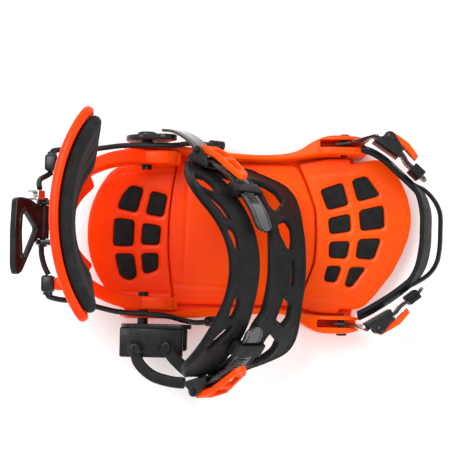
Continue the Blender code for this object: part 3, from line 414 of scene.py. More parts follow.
def relief(name, loops, place, top, bottom, look, edge=1.2, step=1.6, **where):
    """A moulded plate over an outline with holes, its edges rounded. place(x, y, height) puts a point
    in the frame; top and bottom are heights, or functions of x, y and the distance from the edge."""
    loops = [resampled(loop, step) for loop in loops]
    rim = np.concatenate(loops)
    low, high = rim.min(0), rim.max(0)
    columns = np.arange(low[0], high[0], step)
    rows = np.arange(low[1], high[1], step * 0.87)
    field = np.array([(x + (j % 2) * step / 2, y) for j, y in enumerate(rows) for x in columns])
    field = field[inside_distance(field, loops) > edge * 1.5]
    inner = inset_points(loops, [edge * k for k in (0.16, 0.45, 1.0)])
    points = np.concatenate([rim, inner, field])
    edges, start = [], 0
    for loop in loops:
        count = len(loop)
        edges += [(start + i, start + (i + 1) % count) for i in range(count)]
        start += count
    flat, _edges, tris = delaunay_2d_cdt([Vector(p) for p in points.tolist()], edges, [], 0, 1e-4)[:3]
    flat = np.array([tuple(p) for p in flat])
    tris = np.array([t for t in tris if len(t) == 3])
    tris = tris[inside_distance(flat[tris].mean(1), loops) > 0]
    depth = np.maximum(inside_distance(flat, loops), 0)
    verts = [None] * (2 * len(flat))
    for i, ((x, y), d) in enumerate(zip(flat, depth)):
        high_z = top(x, y, d) if callable(top) else top
        low_z = bottom(x, y, d) if callable(bottom) else bottom
        turn = min(edge, (high_z - low_z) / 2)
        share = 1 - min(d / edge, 1.0)
        drop = turn * (1 - math.sqrt(1 - share * share))
        verts[i] = place(x, y, high_z - drop)
        verts[i + len(flat)] = place(x, y, low_z + drop)
    faces = [tuple(t) for t in tris.tolist()] + [tuple(t[::-1]) for t in (tris + len(flat)).tolist()]
    sides = {}
    for a, b, c in tris.tolist():
        for pair in ((a, b), (b, c), (c, a)):
            key = tuple(sorted(pair))
            sides[key] = None if key in sides else pair
    faces += [(b, a, a + len(flat), b + len(flat)) for a, b in filter(None, sides.values())]
    return mesh_piece(name, verts, faces, look, **where)


def flat_place(x, y, z):
    return (x, y, z)


def section(half_width, half_thickness, radius, corner=4):
    """A rounded rectangle as (across, out) pairs."""
    radius = min(radius, half_width * 0.98, half_thickness * 0.98)
    out = []
    for sx, sy, start in ((1, 1, 0), (-1, 1, 90), (-1, -1, 180), (1, -1, 270)):
        for k in range(corner + 1):
            a = math.radians(start + 90 * k / corner)
            out.append((sx * (half_width - radius) + radius * math.cos(a),
                        sy * (half_thickness - radius) + radius * math.sin(a)))
    return out


def skin(name, rings, look, **where):
    """A closed solid through rings of equal length, with a flat face over each end."""
    count = len(rings[0])
    verts = [p for ring in rings for p in ring]
    faces = [tuple(range(count))[::-1], tuple(range(len(verts) - count, len(verts)))]
    for r in range(len(rings) - 1):
        for i in range(count):
            j = (i + 1) % count
            faces.append((r * count + i, r * count + j, (r + 1) * count + j, (r + 1) * count + i))
    return mesh_piece(name, verts, faces, look, **where)


def sweep(name, stations, look, **where):
    """A solid through stations of (centre, across, out, half width, half thickness, radius), with its
    ends rounded over."""
    first, last = stations[0], stations[-1]
    lead = (first[0] - stations[1][0]).normalized()
    trail = (last[0] - stations[-2][0]).normalized()
    stations = [capped(first, lead, k) for k in (1.0, 0.8, 0.45)] + list(stations)
    stations += [capped(last, trail, k) for k in (0.45, 0.8, 1.0)]
    rings = []
    for centre, across, out, half_width, half_thickness, radius in stations:
        ring = section(half_width, half_thickness, radius)
        rings.append([centre + across * a + out * b for a, b in ring])
    return skin(name, rings, look, **where)


def capped(station, lead, share):
    """A station moved along lead and drawn in, for a rounded end."""
    centre, across, out, half_width, half_thickness, radius = station
    turn = min(half_thickness, half_width) * 0.6
    shrink = turn * (1 - math.sqrt(1 - share * share))
    return (centre + lead * turn * share, across, out, half_width - shrink, half_thickness - shrink, radius)


def tube(name, points, radius, look, sides=16, **where):
    """A round cable along the points."""
    rings = []
    count = len(points)
    out = Vector((0, 0, 1))
    for i, point in enumerate(points):
        along = (Vector(points[min(i + 1, count - 1)]) - Vector(points[max(i - 1, 0)])).normalized()
        out = (out - along * out.dot(along)).normalized()
        across = along.cross(out)
        angles = [2 * math.pi * k / sides for k in range(sides)]
        rings.append([Vector(point) + (across * math.cos(a) + out * math.sin(a)) * radius for a in angles])
    return skin(name, rings, look, **where)


def turned(name, profile, start, toward, look, steps=48, **where):
    """A turned piece: profile is (radius, distance along) from start toward the second point."""
    start, toward = Vector(start), Vector(toward)
    turn = (toward - start).to_track_quat("Z", "Y").to_matrix()
    angles = [2 * math.pi * k / steps for k in range(steps)]
    rings = []
    for r, d in profile:
        rings.append([start + turn @ Vector((r * math.cos(a), r * math.sin(a), d)) for a in angles])
    return skin(name, rings, look, **where)


def block(name, low, high, radius, look, segments=4, **where):
    """A moulded block between two corners with rounded edges."""
    bm = bmesh.new()
    bmesh.ops.create_cube(bm, size=1)
    for v in bm.verts:
        v.co = Vector([(a + b) / 2 + c * (b - a) for a, b, c in zip(low, high, v.co)])
    bmesh.ops.bevel(bm, geom=bm.edges[:], offset=radius, segments=segments, profile=0.5, affect="EDGES")
    verts = [v.co.copy() for v in bm.verts]
    faces = [tuple(v.index for v in f.verts) for f in bm.faces]
    bm.free()
    return mesh_piece(name, verts, faces, look, **where)


def local_frame(origin, along, across):
    """Axes: x along, y across, z their outward normal, as a matrix in metres."""
    x = Vector(along).normalized()
    y = Vector(across)
    y = (y - x * y.dot(x)).normalized()
    turn = Matrix((x, y, x.cross(y))).transposed().to_4x4()
    return Matrix.Translation(Vector(origin) * MM) @ turn


def mirrored(half):
    """A closed outline from the points on its +Y side."""
    return half + [(x, -y) for x, y in reversed(half)]


def arc(cx, cy, radius, start, end, steps=10):
    angles = [math.radians(start + (end - start) * i / steps) for i in range(steps + 1)]
    return [(cx + radius * math.cos(a), cy + radius * math.sin(a)) for a in angles]


def circle(cx, cy, radius, steps):
    return arc(cx, cy, radius, 0, 360, steps)[:-1]


def socket_bolt(name, start, toward, length, head, shank, look, body, node):
    """A bolt with a domed head at the far end and a six-sided socket in it."""
    profile = [(shank, 0), (shank, length - 3.2), (head, length - 3.0), (head, length - 1.2)]
    profile += [(head - 0.3, length - 0.6), (head - 1.2, length - 0.1), (head - 2.2, length)]
    bolt = turned(name, profile, start, toward, look)
    direction = (Vector(toward) - Vector(start)).normalized()
    mouth = Vector(start) + direction * (length - 2.2)
    tool = turned("socket", [(head * 0.42, 0), (head * 0.42, 6)], mouth, mouth + direction, look, steps=6)
    cut_out(bolt, tool)
    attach(bolt, body)
    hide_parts(node)
    return bolt


# ---------------------------------------------------------------- base

WALL = [
    (-97, 61, 64, 26), (-91, 61, 65, 44), (-79, 61, 65, 48), (-64, 60.8, 65, 46), (-52, 60, 64.6, 38),
    (-36, 58, 63.6, 32), (-12, 56.6, 61.2, 28.5), (14, 56.5, 60.6, 28), (34, 58, 63.5, 30),
    (48, 60, 71.5, 34), (60, 61, 75.3, 38), (79, 61, 75, 38.5), (88, 62, 73, 35),
]
WALL_TURN_X, TOE_END_RIGHT = 14.0, 83.0
CHANNEL_WIDTH, CHANNEL_FLOOR = 6.0, 15.0


def wall_ring(x, inner, outer, top):
    """One section of a side wall, with a rounded crest and a small bead along its outer edge."""
    turn = min(1.9, (outer - inner) * 0.42)
    ring = [(inner, 0.4), (outer - 1, 0), (outer, 1.5), (outer, top - 5), (outer - 0.5, top - 4.2),
            (outer - 0.5, top - 3.4)]
    ring += arc(outer - turn, top - turn, turn, 0, 90, 6) + arc(inner + turn, top - turn, turn, 90, 180, 6)
    return [(x, y, z) for y, z in ring]


def wall_row(t):
    """A wall row at share t, smooth through the stations."""
    columns = [[(i, row[k]) for i, row in enumerate(WALL)] for k in range(4)]
    return [spline_at(column, t)[0][1] for column in columns]


def make_wall(side, tag):
    """A side wall. The little-toe one ends farther back and is a millimetre thicker toward the heel."""
    shrink = (TOE_END_RIGHT - WALL_TURN_X) / (WALL[-1][0] - WALL_TURN_X)
    stations = 96
    rings = []
    for i in range(stations + 1):
        x, inner, outer, top = wall_row(i / stations)
        if side < 0:
            outer += 1.0 - 2.0 * ease(x, 0, 30)
            x = x if x < WALL_TURN_X else WALL_TURN_X + (x - WALL_TURN_X) * shrink
        rings.append([(px, side * py, pz) for px, py, pz in wall_ring(x, inner, outer, top)])
    return skin("side_wall_" + tag, rings, ORANGE)


def base_edge():
    half = [(-116, 18), (-108, 40), (-95, 62), (-60, 62), (-30, 60.2), (14, 58.3), (36, 61), (60, 63)]
    return mirrored(half + [(81, 63)])


def make_base():
    disc_hole = circle(0, 0, 49, 72)
    floor = relief("base_floor", [round_loop(base_edge(), 8), disc_hole], flat_place, FLOOR_TOP, 0, ORANGE)
    parts = [floor]
    for side, tag in SIDES:
        wall = make_wall(side, tag)
        centre = side * RAIL_Y[side]
        half = CHANNEL_WIDTH / 2
        slot = block("slot", (52, centre - half, CHANNEL_FLOOR), (120, centre + half, 70), 1.2, ORANGE)
        parts.append(cut_out(wall, slot))
    return joined("baseplate_moulding", parts, "base", ["baseplate"])


HEEL_BLOCKS = [
    [(-92, 36), (-82, 34), (-87, 15), (-102, 18), (-98.5, 28)],
    [(-76, 32), (-63.5, 29), (-66.5, 12), (-80, 14)],
    [(-104, 10.5), (-88.5, 9), (-89, -11), (-104.5, -11)],
    [(-82, 7), (-68, 5), (-69, -9.5), (-83, -9.5)],
    [(-103, -17), (-88.5, -17), (-85.5, -34.5), (-91.5, -37.5), (-98.5, -34)],
    [(-82.5, -16.5), (-69.5, -16), (-69.5, -28.5), (-78.5, -32), (-81, -30)],
]
TOE_BLOCKS = [
    [(54, 35.5), (71, 41.5), (76, 24.5), (60, 20)],
    [(78, 43.5), (89, 47), (100, 32), (83, 27)],
    [(60.5, 13.5), (77, 17.5), (78, 4), (62, 1.5)],
    [(84, 20), (102.5, 24.5), (103.5, 7), (85.5, 4.5)],
    [(62, -4.5), (77.5, -3.5), (75, -17), (61.5, -16.5)],
    [(84, -2), (101, -1), (95.5, -17.5), (82, -16.5)],
    [(60.5, -23), (71.5, -23), (67, -35.5), (58, -34.5)],
    [(78, -23.5), (90, -23.5), (79, -39), (74, -38)],
]


def groove(x, y, lines, width=0.8, depth=0.55):
    """How far the surface sinks at a point for creases drawn as straight lines."""
    sink = 0.0
    for (ax, ay), (bx, by) in lines:
        dx, dy = bx - ax, by - ay
        t = min(max(((x - ax) * dx + (y - ay) * dy) / (dx * dx + dy * dy), 0), 1)
        away = math.hypot(x - ax - dx * t, y - ay - dy * t)
        sink = max(sink, depth * math.exp(-(away / width) ** 2))
    return sink


def window_lip(blocks):
    """Sink of a shallow step round each cushion window."""
    rims = [resampled(round_loop(block, 3), 3) for block in blocks]

    def sink(x, y):
        away = min(np.hypot(rim[:, 0] - x, rim[:, 1] - y).min() for rim in rims)
        return 0.35 * (1 - ease(away, 1.2, 2.6))

    return sink


def make_footbeds():
    heel_half = [(-124.5, 6), (-122.5, 19), (-116.5, 34), (-108, 46.5), (-100, 51.5), (-80, 53), (-57, 55)]
    heel_half += [(-60, 36), (-62.5, 14)]
    edge = mirrored(heel_half)
    lip = window_lip(HEEL_BLOCKS)
    creases = [((-100, 46), (-58, 47)), ((-100, -46), (-58, -47))]
    relief("heel_tray", [round_loop(edge, 9)] + [round_loop(b, 3) for b in HEEL_BLOCKS], flat_place,
           lambda x, y, d: HEEL_TOP - lip(x, y) - groove(x, y, creases), SHEET_TOP + 0.3, ORANGE,
           body="base", replaces=["heel_footbed"])
    rear = [(-56.4, 54.8), (-59.4, 36), (-61.9, 14)]
    front = [(36, 54.5), (43, 40), (50.5, 20), (51.5, 0)]
    left = [*reversed(rear)] + front
    edge = left + [(x, -y) for x, y in reversed(left[:-1])]
    creases = [((-57, 40), (40, 42)), ((-57, -40), (40, -42)), ((-48, 40), (-50, -40))]
    relief("centre_tray", [round_loop(edge, 5)], flat_place,
           lambda x, y, d: CENTRE_TOP - groove(x, y, creases), FLOOR_TOP + 0.5, ORANGE,
           body="base", replaces=["centre_cover"])


def ramp_top(x):
    return RAMP_REAR_TOP + max(0.0, x - RAMP_REAR_X) * RAMP_SLOPE


def make_toe_tray():
    edge = [(37, 55.5), (60, 59.5), (76, 59.8), (77, 56), (98, 60), (108, 53.5), (115.5, 43.5), (120.5, 32.5)]
    edge += [(123.5, 20), (123.8, 10), (122, 0), (117.5, -12.5), (110, -27.5), (97, -45), (88, -54.5)]
    edge += [(80, -56.2), (70, -56), (69, -59.3), (55, -59.2), (37, -55.5)]
    edge += [(44, -40.5), (51.2, -20), (52.2, 0), (51.2, 20), (44, 40.5)]
    lip = window_lip(TOE_BLOCKS)
    creases = [((44, 47), (78, 50)), ((44, -47), (70, -49))]
    relief("toe_tray", [round_loop(edge, 4)] + [round_loop(b, 3) for b in TOE_BLOCKS], flat_place,
           lambda x, y, d: ramp_top(x) - lip(x, y) - groove(x, y, creases), SHEET_TOP + 0.3, ORANGE,
           body="base", replaces=["toe_ramp"])


def make_cushion(name, node, blocks, top_at):
    """Moulded foam studs that stand up through the footbed's windows, each crowned."""
    studs = []
    for number, loop in enumerate(blocks):
        loop = shrunk(round_loop(loop, 3), 0.955)
        studs.append(relief(f"{name}_{number}", [loop], flat_place,
                            lambda x, y, d: top_at(x) + 1.1 + 0.7 * ease(d, 0, 5), SHEET_TOP - 1.5, FOAM,
                            edge=1.7, step=1.3))
    piece = joined(name, studs, "base", [node])
    return piece


PIVOT_BOLT_START, PIVOT_BOLT_PROUD = 46.2, 3.3
TOE_BOLT_START, TOE_BOLT_PROUD = 59.6, 0.6
TOE_BOLT_SEAT = {"left": 76.6, "right": 75.5}


def make_base_hardware():
    for side, tag in SIDES:
        start, toward = ((PIVOT_X, side * y, PIVOT_Z) for y in (PIVOT_BOLT_START, 90))
        socket_bolt("pivot_bolt_head_" + tag, start, toward,
                    ARM_OUTER[tag] + PIVOT_BOLT_PROUD - PIVOT_BOLT_START, 7.5, 4.0, DARK_STEEL, "base",
                    "pivot_bolt_" + tag)
        start, toward = ((TOE_PIVOT_X, side * y, TOE_PIVOT_Z) for y in (TOE_BOLT_START, 90))
        socket_bolt("toe_bolt_head_" + tag, start, toward,
                    TOE_BOLT_SEAT[tag] - TOE_BOLT_START + TOE_BOLT_PROUD, 4.2, 2.5, DARK_STEEL, "base",
                    "toe_bolt_" + tag)
        make_anchor(side, tag)


def make_anchor(side, tag):
    """Barrel adjuster at the cable's lower end, ringed with grip grooves, on its stud."""
    start, end = Vector((-32.6, side * 67.8, 25.6)), Vector((-21, side * 67.4, 21))
    length = (end - start).length
    profile = [(2.3, 0), (2.9, 0.5)]
    grooves = 5
    for k in range(grooves):
        d = 1.4 + k * (length - 2.4) / grooves
        profile += [(3.6, d), (3.6, d + 1.1), (3.15, d + 1.4), (3.15, d + 1.7)]
    profile += [(3.5, length - 0.5), (2.9, length)]
    barrel = turned("barrel", profile, start, end, BLACK)
    stud = turned("stud", [(2.4, 0), (3.0, 0.6), (3.0, 8.4), (2.6, 9)], (-27, side * 58, 24),
                  (-27, side * 67, 24), BLACK)
    joined("cable_barrel_" + tag, [barrel, stud], "base", ["cable_anchor_" + tag])


# ---------------------------------------------------------------- heel loop and highback

LOOP_REACH, LOOP_HALF_WIDTH = 57.6, 49.6
LOOP_SIDE_THICKNESS, LOOP_REAR_THICKNESS = 10.4, 5.0
LOOP_HALF_HEIGHT, LOOP_RISE, LOOP_NOSE = 12.5, 62.0, 24.0
LEVER_X, LEVER_Y, LEVER_Z = -147.2, 0.0, 106.0
LEVER_TILT = math.radians(56)
LUG_INNER, LUG_OUTER = 12.2, 16.0
LEVER_HUB = 11.6


def loop_station(angle):
    """Centre, across and outward directions, and half sizes of the heel loop at an angle from a side."""
    reach, half = LOOP_REACH, LOOP_HALF_WIDTH
    plan = Vector((PIVOT_X - reach * math.sin(angle), half * math.cos(angle), 0))
    normal = Vector((-math.sin(angle) / reach, math.cos(angle) / half, 0)).normalized()
    thick = LOOP_SIDE_THICKNESS + (LOOP_REAR_THICKNESS - LOOP_SIDE_THICKNESS) * math.sin(angle) ** 2
    plan.z = PIVOT_Z + LOOP_RISE * math.sin(angle)
    return plan + normal * thick / 2, Vector((0, 0, 1)), normal, LOOP_HALF_HEIGHT, thick / 2, 2.2


def loop_nose(side):
    """Stations from the loop's front tip back to the pivot, on one side."""
    rows = []
    for reach in (LOOP_NOSE, 23.6, 22.6, 20.6, 17.5, 14, 10, 5):
        drop = max(0.0, reach - LOOP_NOSE + LOOP_HALF_HEIGHT)
        half = max(3.0, math.sqrt(max(0.0, LOOP_HALF_HEIGHT ** 2 - drop ** 2)))
        centre = Vector((PIVOT_X + reach, side * (LOOP_HALF_WIDTH + LOOP_SIDE_THICKNESS / 2), PIVOT_Z))
        rows.append((centre, Vector((0, 0, 1)), Vector((0, side, 0)), half, LOOP_SIDE_THICKNESS / 2, 2.2))
    return rows


def make_heel_loop():
    turns = 96
    stations = loop_nose(1) + [loop_station(math.pi * i / turns) for i in range(turns + 1)]
    stations += loop_nose(-1)[::-1]
    parts = [sweep("loop", stations, ORANGE)]
    for side in (1, -1):
        near, far = sorted((side * 38.5, side * 47.5))
        parts.append(block("boss", (-138.3, near, 84.5), (-118, far, 103.5), 1.6, ORANGE))
    joined("heel_loop_moulding", parts, "highback", ["heel_loop"])


def make_lever_lugs():
    """Black ears on the back of the heel loop that carry the release lever's pin."""
    parts = []
    for side in (1, -1):
        low = LEVER_Y + side * (LUG_INNER + LUG_OUTER) / 2 - (LUG_OUTER - LUG_INNER) / 2
        ear = arc(LEVER_X, LEVER_Z, 5, 90, 240, 10) + [(-136, 91.5), (-133, 95), (-133, 109), (-137, 111)]
        parts.append(relief("ear", [ear], lambda x, y, h, low=low: (x, low + h, y), LUG_OUTER - LUG_INNER, 0,
                            BLACK, 0.8))
    joined("lever_lugs", parts, "highback")


BACK_LEVELS = [
    (76, 33, -134.0), (92, 35.5, -135.7), (108, 37.5, -136.2), (122, 43, -136.0), (138, 50, -135.2),
    (156, 57, -134.0), (176, 62.5, -132.3), (198, 67, -130.0), (216, 69.6, -128.2), (230, 69.3, -127.0),
]
BACK_ARC = 0.75
BACK_SAG_LOW, BACK_SAG_TOP = 19.5, 22.0
BACK_THICKNESS, PAD_THICKNESS = 5.0, 9.0
BACK_HALF = 60.0


def back_place(across, z, depth):
    """Point on the highback: across from -60 to 60, z before its top corners drop, depth forward."""
    u = across / BACK_HALF
    z = z - 13 * abs(u) ** 5 * ease(z, 180, 230)
    half, rear = (spline_at([(r[0], r[k]) for r in BACK_LEVELS], back_share(z))[0][1] for k in (1, 2))
    sag = BACK_SAG_LOW + (BACK_SAG_TOP - BACK_SAG_LOW) * ease(z, 110, 200)
    full = 1 - math.sqrt(1 - BACK_ARC ** 2)
    curve = (1 - math.sqrt(1 - (BACK_ARC * u) ** 2)) / full
    slope = sag * BACK_ARC ** 2 * u / math.sqrt(1 - (BACK_ARC * u) ** 2) / full / half
    lean = math.hypot(1, slope)
    centre = -0.5 * ease(z, 115, 165)
    return (rear + sag * curve + depth / lean, centre + half * u - depth * slope / lean, z)


def back_share(z):
    """Share along the highback's level table for a height."""
    levels = [row[0] for row in BACK_LEVELS]
    for i, (low, high) in enumerate(zip(levels, levels[1:])):
        if z <= high:
            return (i + max(0.0, (z - low) / (high - low))) / (len(levels) - 1)
    return 1.0


def make_highback():
    edge = [(-58, 76.5), (58, 76.5), (60, 100), (60, 150), (60, 210), (60, 229.6), (-60, 229.6), (-60, 210)]
    edge += [(-60, 150), (-60, 100)]
    slots = [[(s * 30, 125), (s * 47, 125), (s * 47, 131), (s * 30, 131)] for s in (1, -1)]

    def rear_face(x, y, d):
        rim = 0.9 * (ease(d, 0.8, 1.8) - ease(d, 3.4, 4.6)) * ease(y, 120, 135)
        rib = 0.9 * math.exp(-((abs(x) - 24 - (y - 130) * 0.12) / 2.2) ** 2) * ease(y, 122, 140)
        rib *= 1 - ease(y, 205, 220)
        return -rim - rib

    relief("highback_moulding", [round_loop(edge, 7)] + [round_loop(s, 2.5) for s in slots], back_place,
           BACK_THICKNESS, rear_face, ORANGE, edge=1.5, step=1.8, body="highback",
           replaces=["highback_shell"])


def make_highback_pad():
    """Moulded foam liner with soft cross channels, its edge rolled over."""
    start = BACK_THICKNESS + 0.6
    edge = [(-57, 133), (57, 133), (59, 155), (59, 226.6), (-59, 226.6), (-59, 155)]

    def front_face(x, y, d):
        channel = 0.0
        for level in (158, 182, 206):
            bow = level - 0.0022 * x * x
            channel += 1.7 * math.exp(-((y - bow) / 2.2) ** 2) * ease(d, 5, 12)
        return start + PAD_THICKNESS - channel - 1.2 * (1 - ease(d, 0, 12))

    pad = relief("highback_liner", [round_loop(edge, 9)], back_place, front_face, start, FOAM, edge=3.4,
                 step=1.8, body="highback", replaces=["highback_pad"])


def lever_frame():
    along = (-math.cos(LEVER_TILT), 0, math.sin(LEVER_TILT))
    return local_frame((LEVER_X, LEVER_Y, LEVER_Z), along, (0, 1, 0))


def make_release_lever():
    """Wishbone lever with a sunk web inside a raised rim, on its hub."""
    hub = LEVER_HUB
    edge = [(-3, -hub), (7, -hub), (11, -15), (23, -36), (28, -38.5), (30.5, -33), (31.5, -8), (30.5, 14)]
    edge += [(27, 16), (17, 15.5), (8, hub), (-3, hub)]
    hole = [(8, -5), (19, -26), (22.5, -24), (24, -8), (23.5, 4), (20, 7)]
    half = 2.8
    place = lever_frame()
    plate = relief("plate", [round_loop(edge, 4), round_loop(hole, 2.5)], flat_place,
                   lambda x, y, d: half - 1.3 * ease(d, 1.9, 2.8) * ease(x, 5, 8),
                   lambda x, y, d: -half + 1.3 * ease(d, 1.9, 2.8) * ease(x, 5, 8), BLACK, edge=0.9, step=0.9,
                   into=place)
    profile = [(3.9, 0), (4.4, 0.5), (4.4, 2 * hub - 0.5), (3.9, 2 * hub)]
    axle = turned("hub", profile, (0, -hub, 0), (0, hub, 0), BLACK, into=place)
    joined("release_lever_moulding", [plate, axle], "lever", ["release_lever"])


def make_clevis():
    """Folded steel clevis: two cheeks, a cross pin and the cable's ferrule."""
    place = lever_frame()
    cheek = round_loop([(7, -8), (15, -8), (15, 3), (7, 3)], 2.6)
    hole = circle(11, -1.5, 1.7, 20)
    parts = []
    for low in (14.9, 20.1):
        parts.append(relief("cheek", [cheek, hole], lambda x, y, h, low=low: (x, low + h, y), 1.5, 0, STEEL,
                            edge=0.35, step=0.8, into=place))
    parts.append(block("web", (7.4, 15.2, -7.9), (14.6, 21.2, -6.3), 0.5, STEEL, into=place))
    parts.append(turned("pin", [(1.3, 0), (1.6, 0.3), (1.6, 6.3), (1.3, 6.7)], (11, 14.9, -1.5),
                        (11, 21.6, -1.5), STEEL, into=place))
    parts.append(turned("ferrule", [(2.4, 0), (2.8, 0.4), (2.8, 4.4), (2.3, 4.8)], (9.5, 18.2, -6.4),
                        (10.5, 18.2, -1), STEEL, into=place))
    joined("clevis_folded", parts, "lever", ["cable_clevis"])


GUIDE = {1: (-143.4, 43, 97), -1: (-143.4, -43, 97)}


def make_guides():
    for side, tag in SIDES:
        x, y, z = GUIDE[side]
        body = block("guide", (x - 4.5, y - 5.9, z - 6.9), (x + 4.5, y + 5.9, z + 6.9), 2.0, BLACK)
        bore = turned("bore", [(2.3, 0), (2.3, 40)], (x, y - 20, z), (x, y + 20, z), BLACK, steps=28)
        slit = block("slit", (x - 9, y - 9, z - 0.7), (x - 1, y + 9, z + 0.7), 0.2, BLACK)
        body = cut_out(body, bore, slit)
        collar = turned("collar", [(2.25, 0), (3.4, 0), (3.4, 2.2), (2.9, 2.8), (2.25, 2.8)],
                        (x, y + side * 5.4, z), (x, y + side * 9, z), BLACK)
        joined("cable_guide_block_" + tag, [body, collar], "highback", ["cable_guide_" + tag])


CABLE_RADIUS = 2.0


def side_cable_points(side):
    out = 0.0 if side > 0 else 0.9
    points = [(-33.7, 67.4, 26.6), (-40, 67.6, 32), (-49, 66.0, 41.5), (-58, 63.6, 49.4), (-70, 63.0, 52.2)]
    points += [(-84, 62.6, 53.4), (-97, 61.6, 56), (-110, 58.8, 63.5), (-124, 55, 76), (-135.5, 54, 87.5)]
    points += [(-142.4, 52.2, 95.6), (-143.4, 49.8, 97)]
    return [(x, side * (y + out * (x > -60)), z) for x, y, z in points]


def rear_cable_points(side):
    if side > 0:
        points = [(-143.4, 36.2, 97), (-146.6, 33.6, 99.4), (-149.8, 30.8, 105), (-150.2, 27.6, 111)]
        return points + [(-149, 23.2, 115.6)]
    return [(-143.4, -36.6, 97), (-146.4, -30.5, 97.4), (-148.4, -23, 98.4), (-148.8, -16.8, 99)]


def make_cables():
    """Jacketed cable from each side anchor round to its guide, and on to the lever."""
    for side, tag in SIDES:
        run = tube("cable_run_" + tag, route(side_cable_points(side), 110), CABLE_RADIUS, JACKET,
                   replaces=["cable_" + tag])
        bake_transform(run)
        rear = route(rear_cable_points(side), 50)
        piece = tube("cable_tail_" + tag, rear, CABLE_RADIUS, JACKET, replaces=["cable_rear_" + tag])
        if side > 0:
            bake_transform(piece)
        else:
            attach(piece, "highback")


# ---------------------------------------------------------------- ankle strap

ARCH = [
    (50, 40), (46, 49.5), (41, 61), (34.5, 73), (26.5, 84), (16.5, 94.5), (5, 103.5), (-8, 109), (-23, 111.5),
    (-38, 111), (-53, 107.5), (-68, 102), (-82, 94), (-93, 83), (-101, 69.5), (-105.5, 56), (-107, 43),
]


def arch_table():
    """Rows of distance along the arch and the share of its curve reached there."""
    rows, steps = [(0.0, 0.0)], 320
    for i in range(steps):
        a, b = (spline_at(ARCH, k / steps)[0] for k in (i, i + 1))
        rows.append((rows[-1][0] + (b - a).length, (i + 1) / steps))
    return rows


ARCH_TABLE = np.array(arch_table())


def arch_at(u):
    return spline_at(ARCH, float(np.interp(u, ARCH_TABLE[:, 0], ARCH_TABLE[:, 1])))


def strap_point(y, s, w):
    """Point of the ankle strap's own frame: s out from the pivot axis, w across the strap's width."""
    c, n = math.cos(STRAP_LEAN), math.sin(STRAP_LEAN)
    return Vector((PIVOT_X + c * s + n * w, y, PIVOT_Z + n * s - c * w))


def arch_place(u, w, lift):
    """Point u along the arch from its big-toe end, w across it and lift off its middle."""
    (y, s), (dy, ds) = arch_at(u)
    return strap_point(y + ds * lift, s - dy * lift, w)


def arch_frame(u, w, lift, turn=1):
    (y, s), (dy, ds) = arch_at(u)
    along = (strap_point(y + dy, s + ds, w) - strap_point(y, s, w)) * turn
    across = (strap_point(y, s, w + 1) - strap_point(y, s, w)) * turn
    return local_frame(arch_place(u, w, lift), along, across)


# Outlines by distance along the arch and across it
UPPER_EDGE = [
    (5, -3), (12, -9), (20, -17), (27, -23), (34, -28), (44, -33), (55, -35.5), (65, -35), (75, -32.5),
    (87, -28.5), (100, -24.5), (113, -22.5), (126, -22.3), (140, -23.5), (155, -27.2), (170, -30.5),
    (185, -31), (198, -28.5), (208, -21), (214, -12), (215, 4), (205, 5.5), (190, 4), (178, 3), (165, 5),
    (150, 6), (124, 6), (110, 6), (95, 5), (80, 3.5), (60, 3.5), (48, 4.8), (30, 5.5), (10, 5.5), (5, 3),
]
UPPER_WINDOWS = [
    [(34.5, -19.5), (35.5, -11), (45, -10.2), (56, -13.7), (55, -21.5), (51, -26.3), (44, -26.2)],
    [(53.5, -28), (58.5, -22), (67.3, -17.4), (76, -16.3), (82, -16), (80, -21.7), (72.4, -24.6),
     (62.5, -27.8)],
    [(86.5, -22.6), (89.6, -16), (95.5, -14.6), (103, -15), (102.5, -19), (97, -20.6), (92, -23.2)],
    [(135.5, -14.6), (136.7, -11.2), (142.7, -9.8), (149.7, -11.3), (151, -16.2), (144.6, -16.5)],
    [(155.5, -10.5), (161.6, -11.7), (170.3, -18.6), (175.6, -22.7), (175, -25), (167.3, -23),
     (160.2, -17.2)],
]
LOWER_EDGE = [
    (5, 12), (18, 11), (26, 16), (33, 27), (40, 33), (48, 33), (57, 30.5), (67, 27), (80, 23), (92, 19.5),
    (107, 17.3), (125, 17), (144, 17), (150, 15), (158, 12), (180, 10.8), (200, 10), (213, 9.5), (214, 30),
    (206, 37), (198, 42.5), (189, 52.5), (181, 61), (172, 63.6), (160, 62), (147, 58.6), (130, 56),
    (110, 55.6), (96, 56.8), (82, 59.5), (68, 66), (56, 71.5), (46, 74.5), (36, 75.3), (27, 71.5),
    (15, 65.5), (6, 62),
]
LOWER_WINDOWS = [
    [(33, 38.5), (36, 52.5), (45.6, 56), (57.3, 54), (70.5, 35), (64.6, 33), (54, 36.5)],
    [(81.5, 31.6), (77.5, 44), (83, 46), (90.4, 44.2), (100, 41), (99.4, 35.2), (94, 33), (90, 30.6)],
    [(107.7, 39.2), (107.6, 42.6), (125.6, 43.2), (125, 39.4)],
    [(133.8, 35.2), (140.2, 44.4), (150.7, 45.7), (155.2, 42.6), (151, 32.9), (143.6, 34.2)],
    [(162.2, 32), (169, 43.6), (178, 45.2), (186, 41.5), (192, 32.6), (176.8, 32.4), (168.2, 30)],
]


def make_band(name, node, edge, windows):
    """One moulded band: a bead runs just inside its edges and round its windows."""
    half = STRAP_THICKNESS / 2

    def outer_face(u, w, d):
        bead = 0.9 * math.exp(-((d - 2.0) / 0.9) ** 2)
        return half - 0.55 + bead

    relief(name, [soft_loop(edge, 4)] + [round_loop(w, 1.8, 3) for w in windows], arch_place,
           outer_face, -half, RUBBER, edge=1.3, step=1.3, body="ankle_strap", replaces=[node])


def ladder_rows(pairs, step=0.55):
    """Evenly spaced (centre, across, out) rows along a strip given by its two edges."""
    low = [Vector(a) for a, b in pairs]
    high = [Vector(b) for a, b in pairs]
    total = sum((b - a).length for a, b in zip(low, low[1:]))
    count = int(total / step)
    return route(low, count), route(high, count)


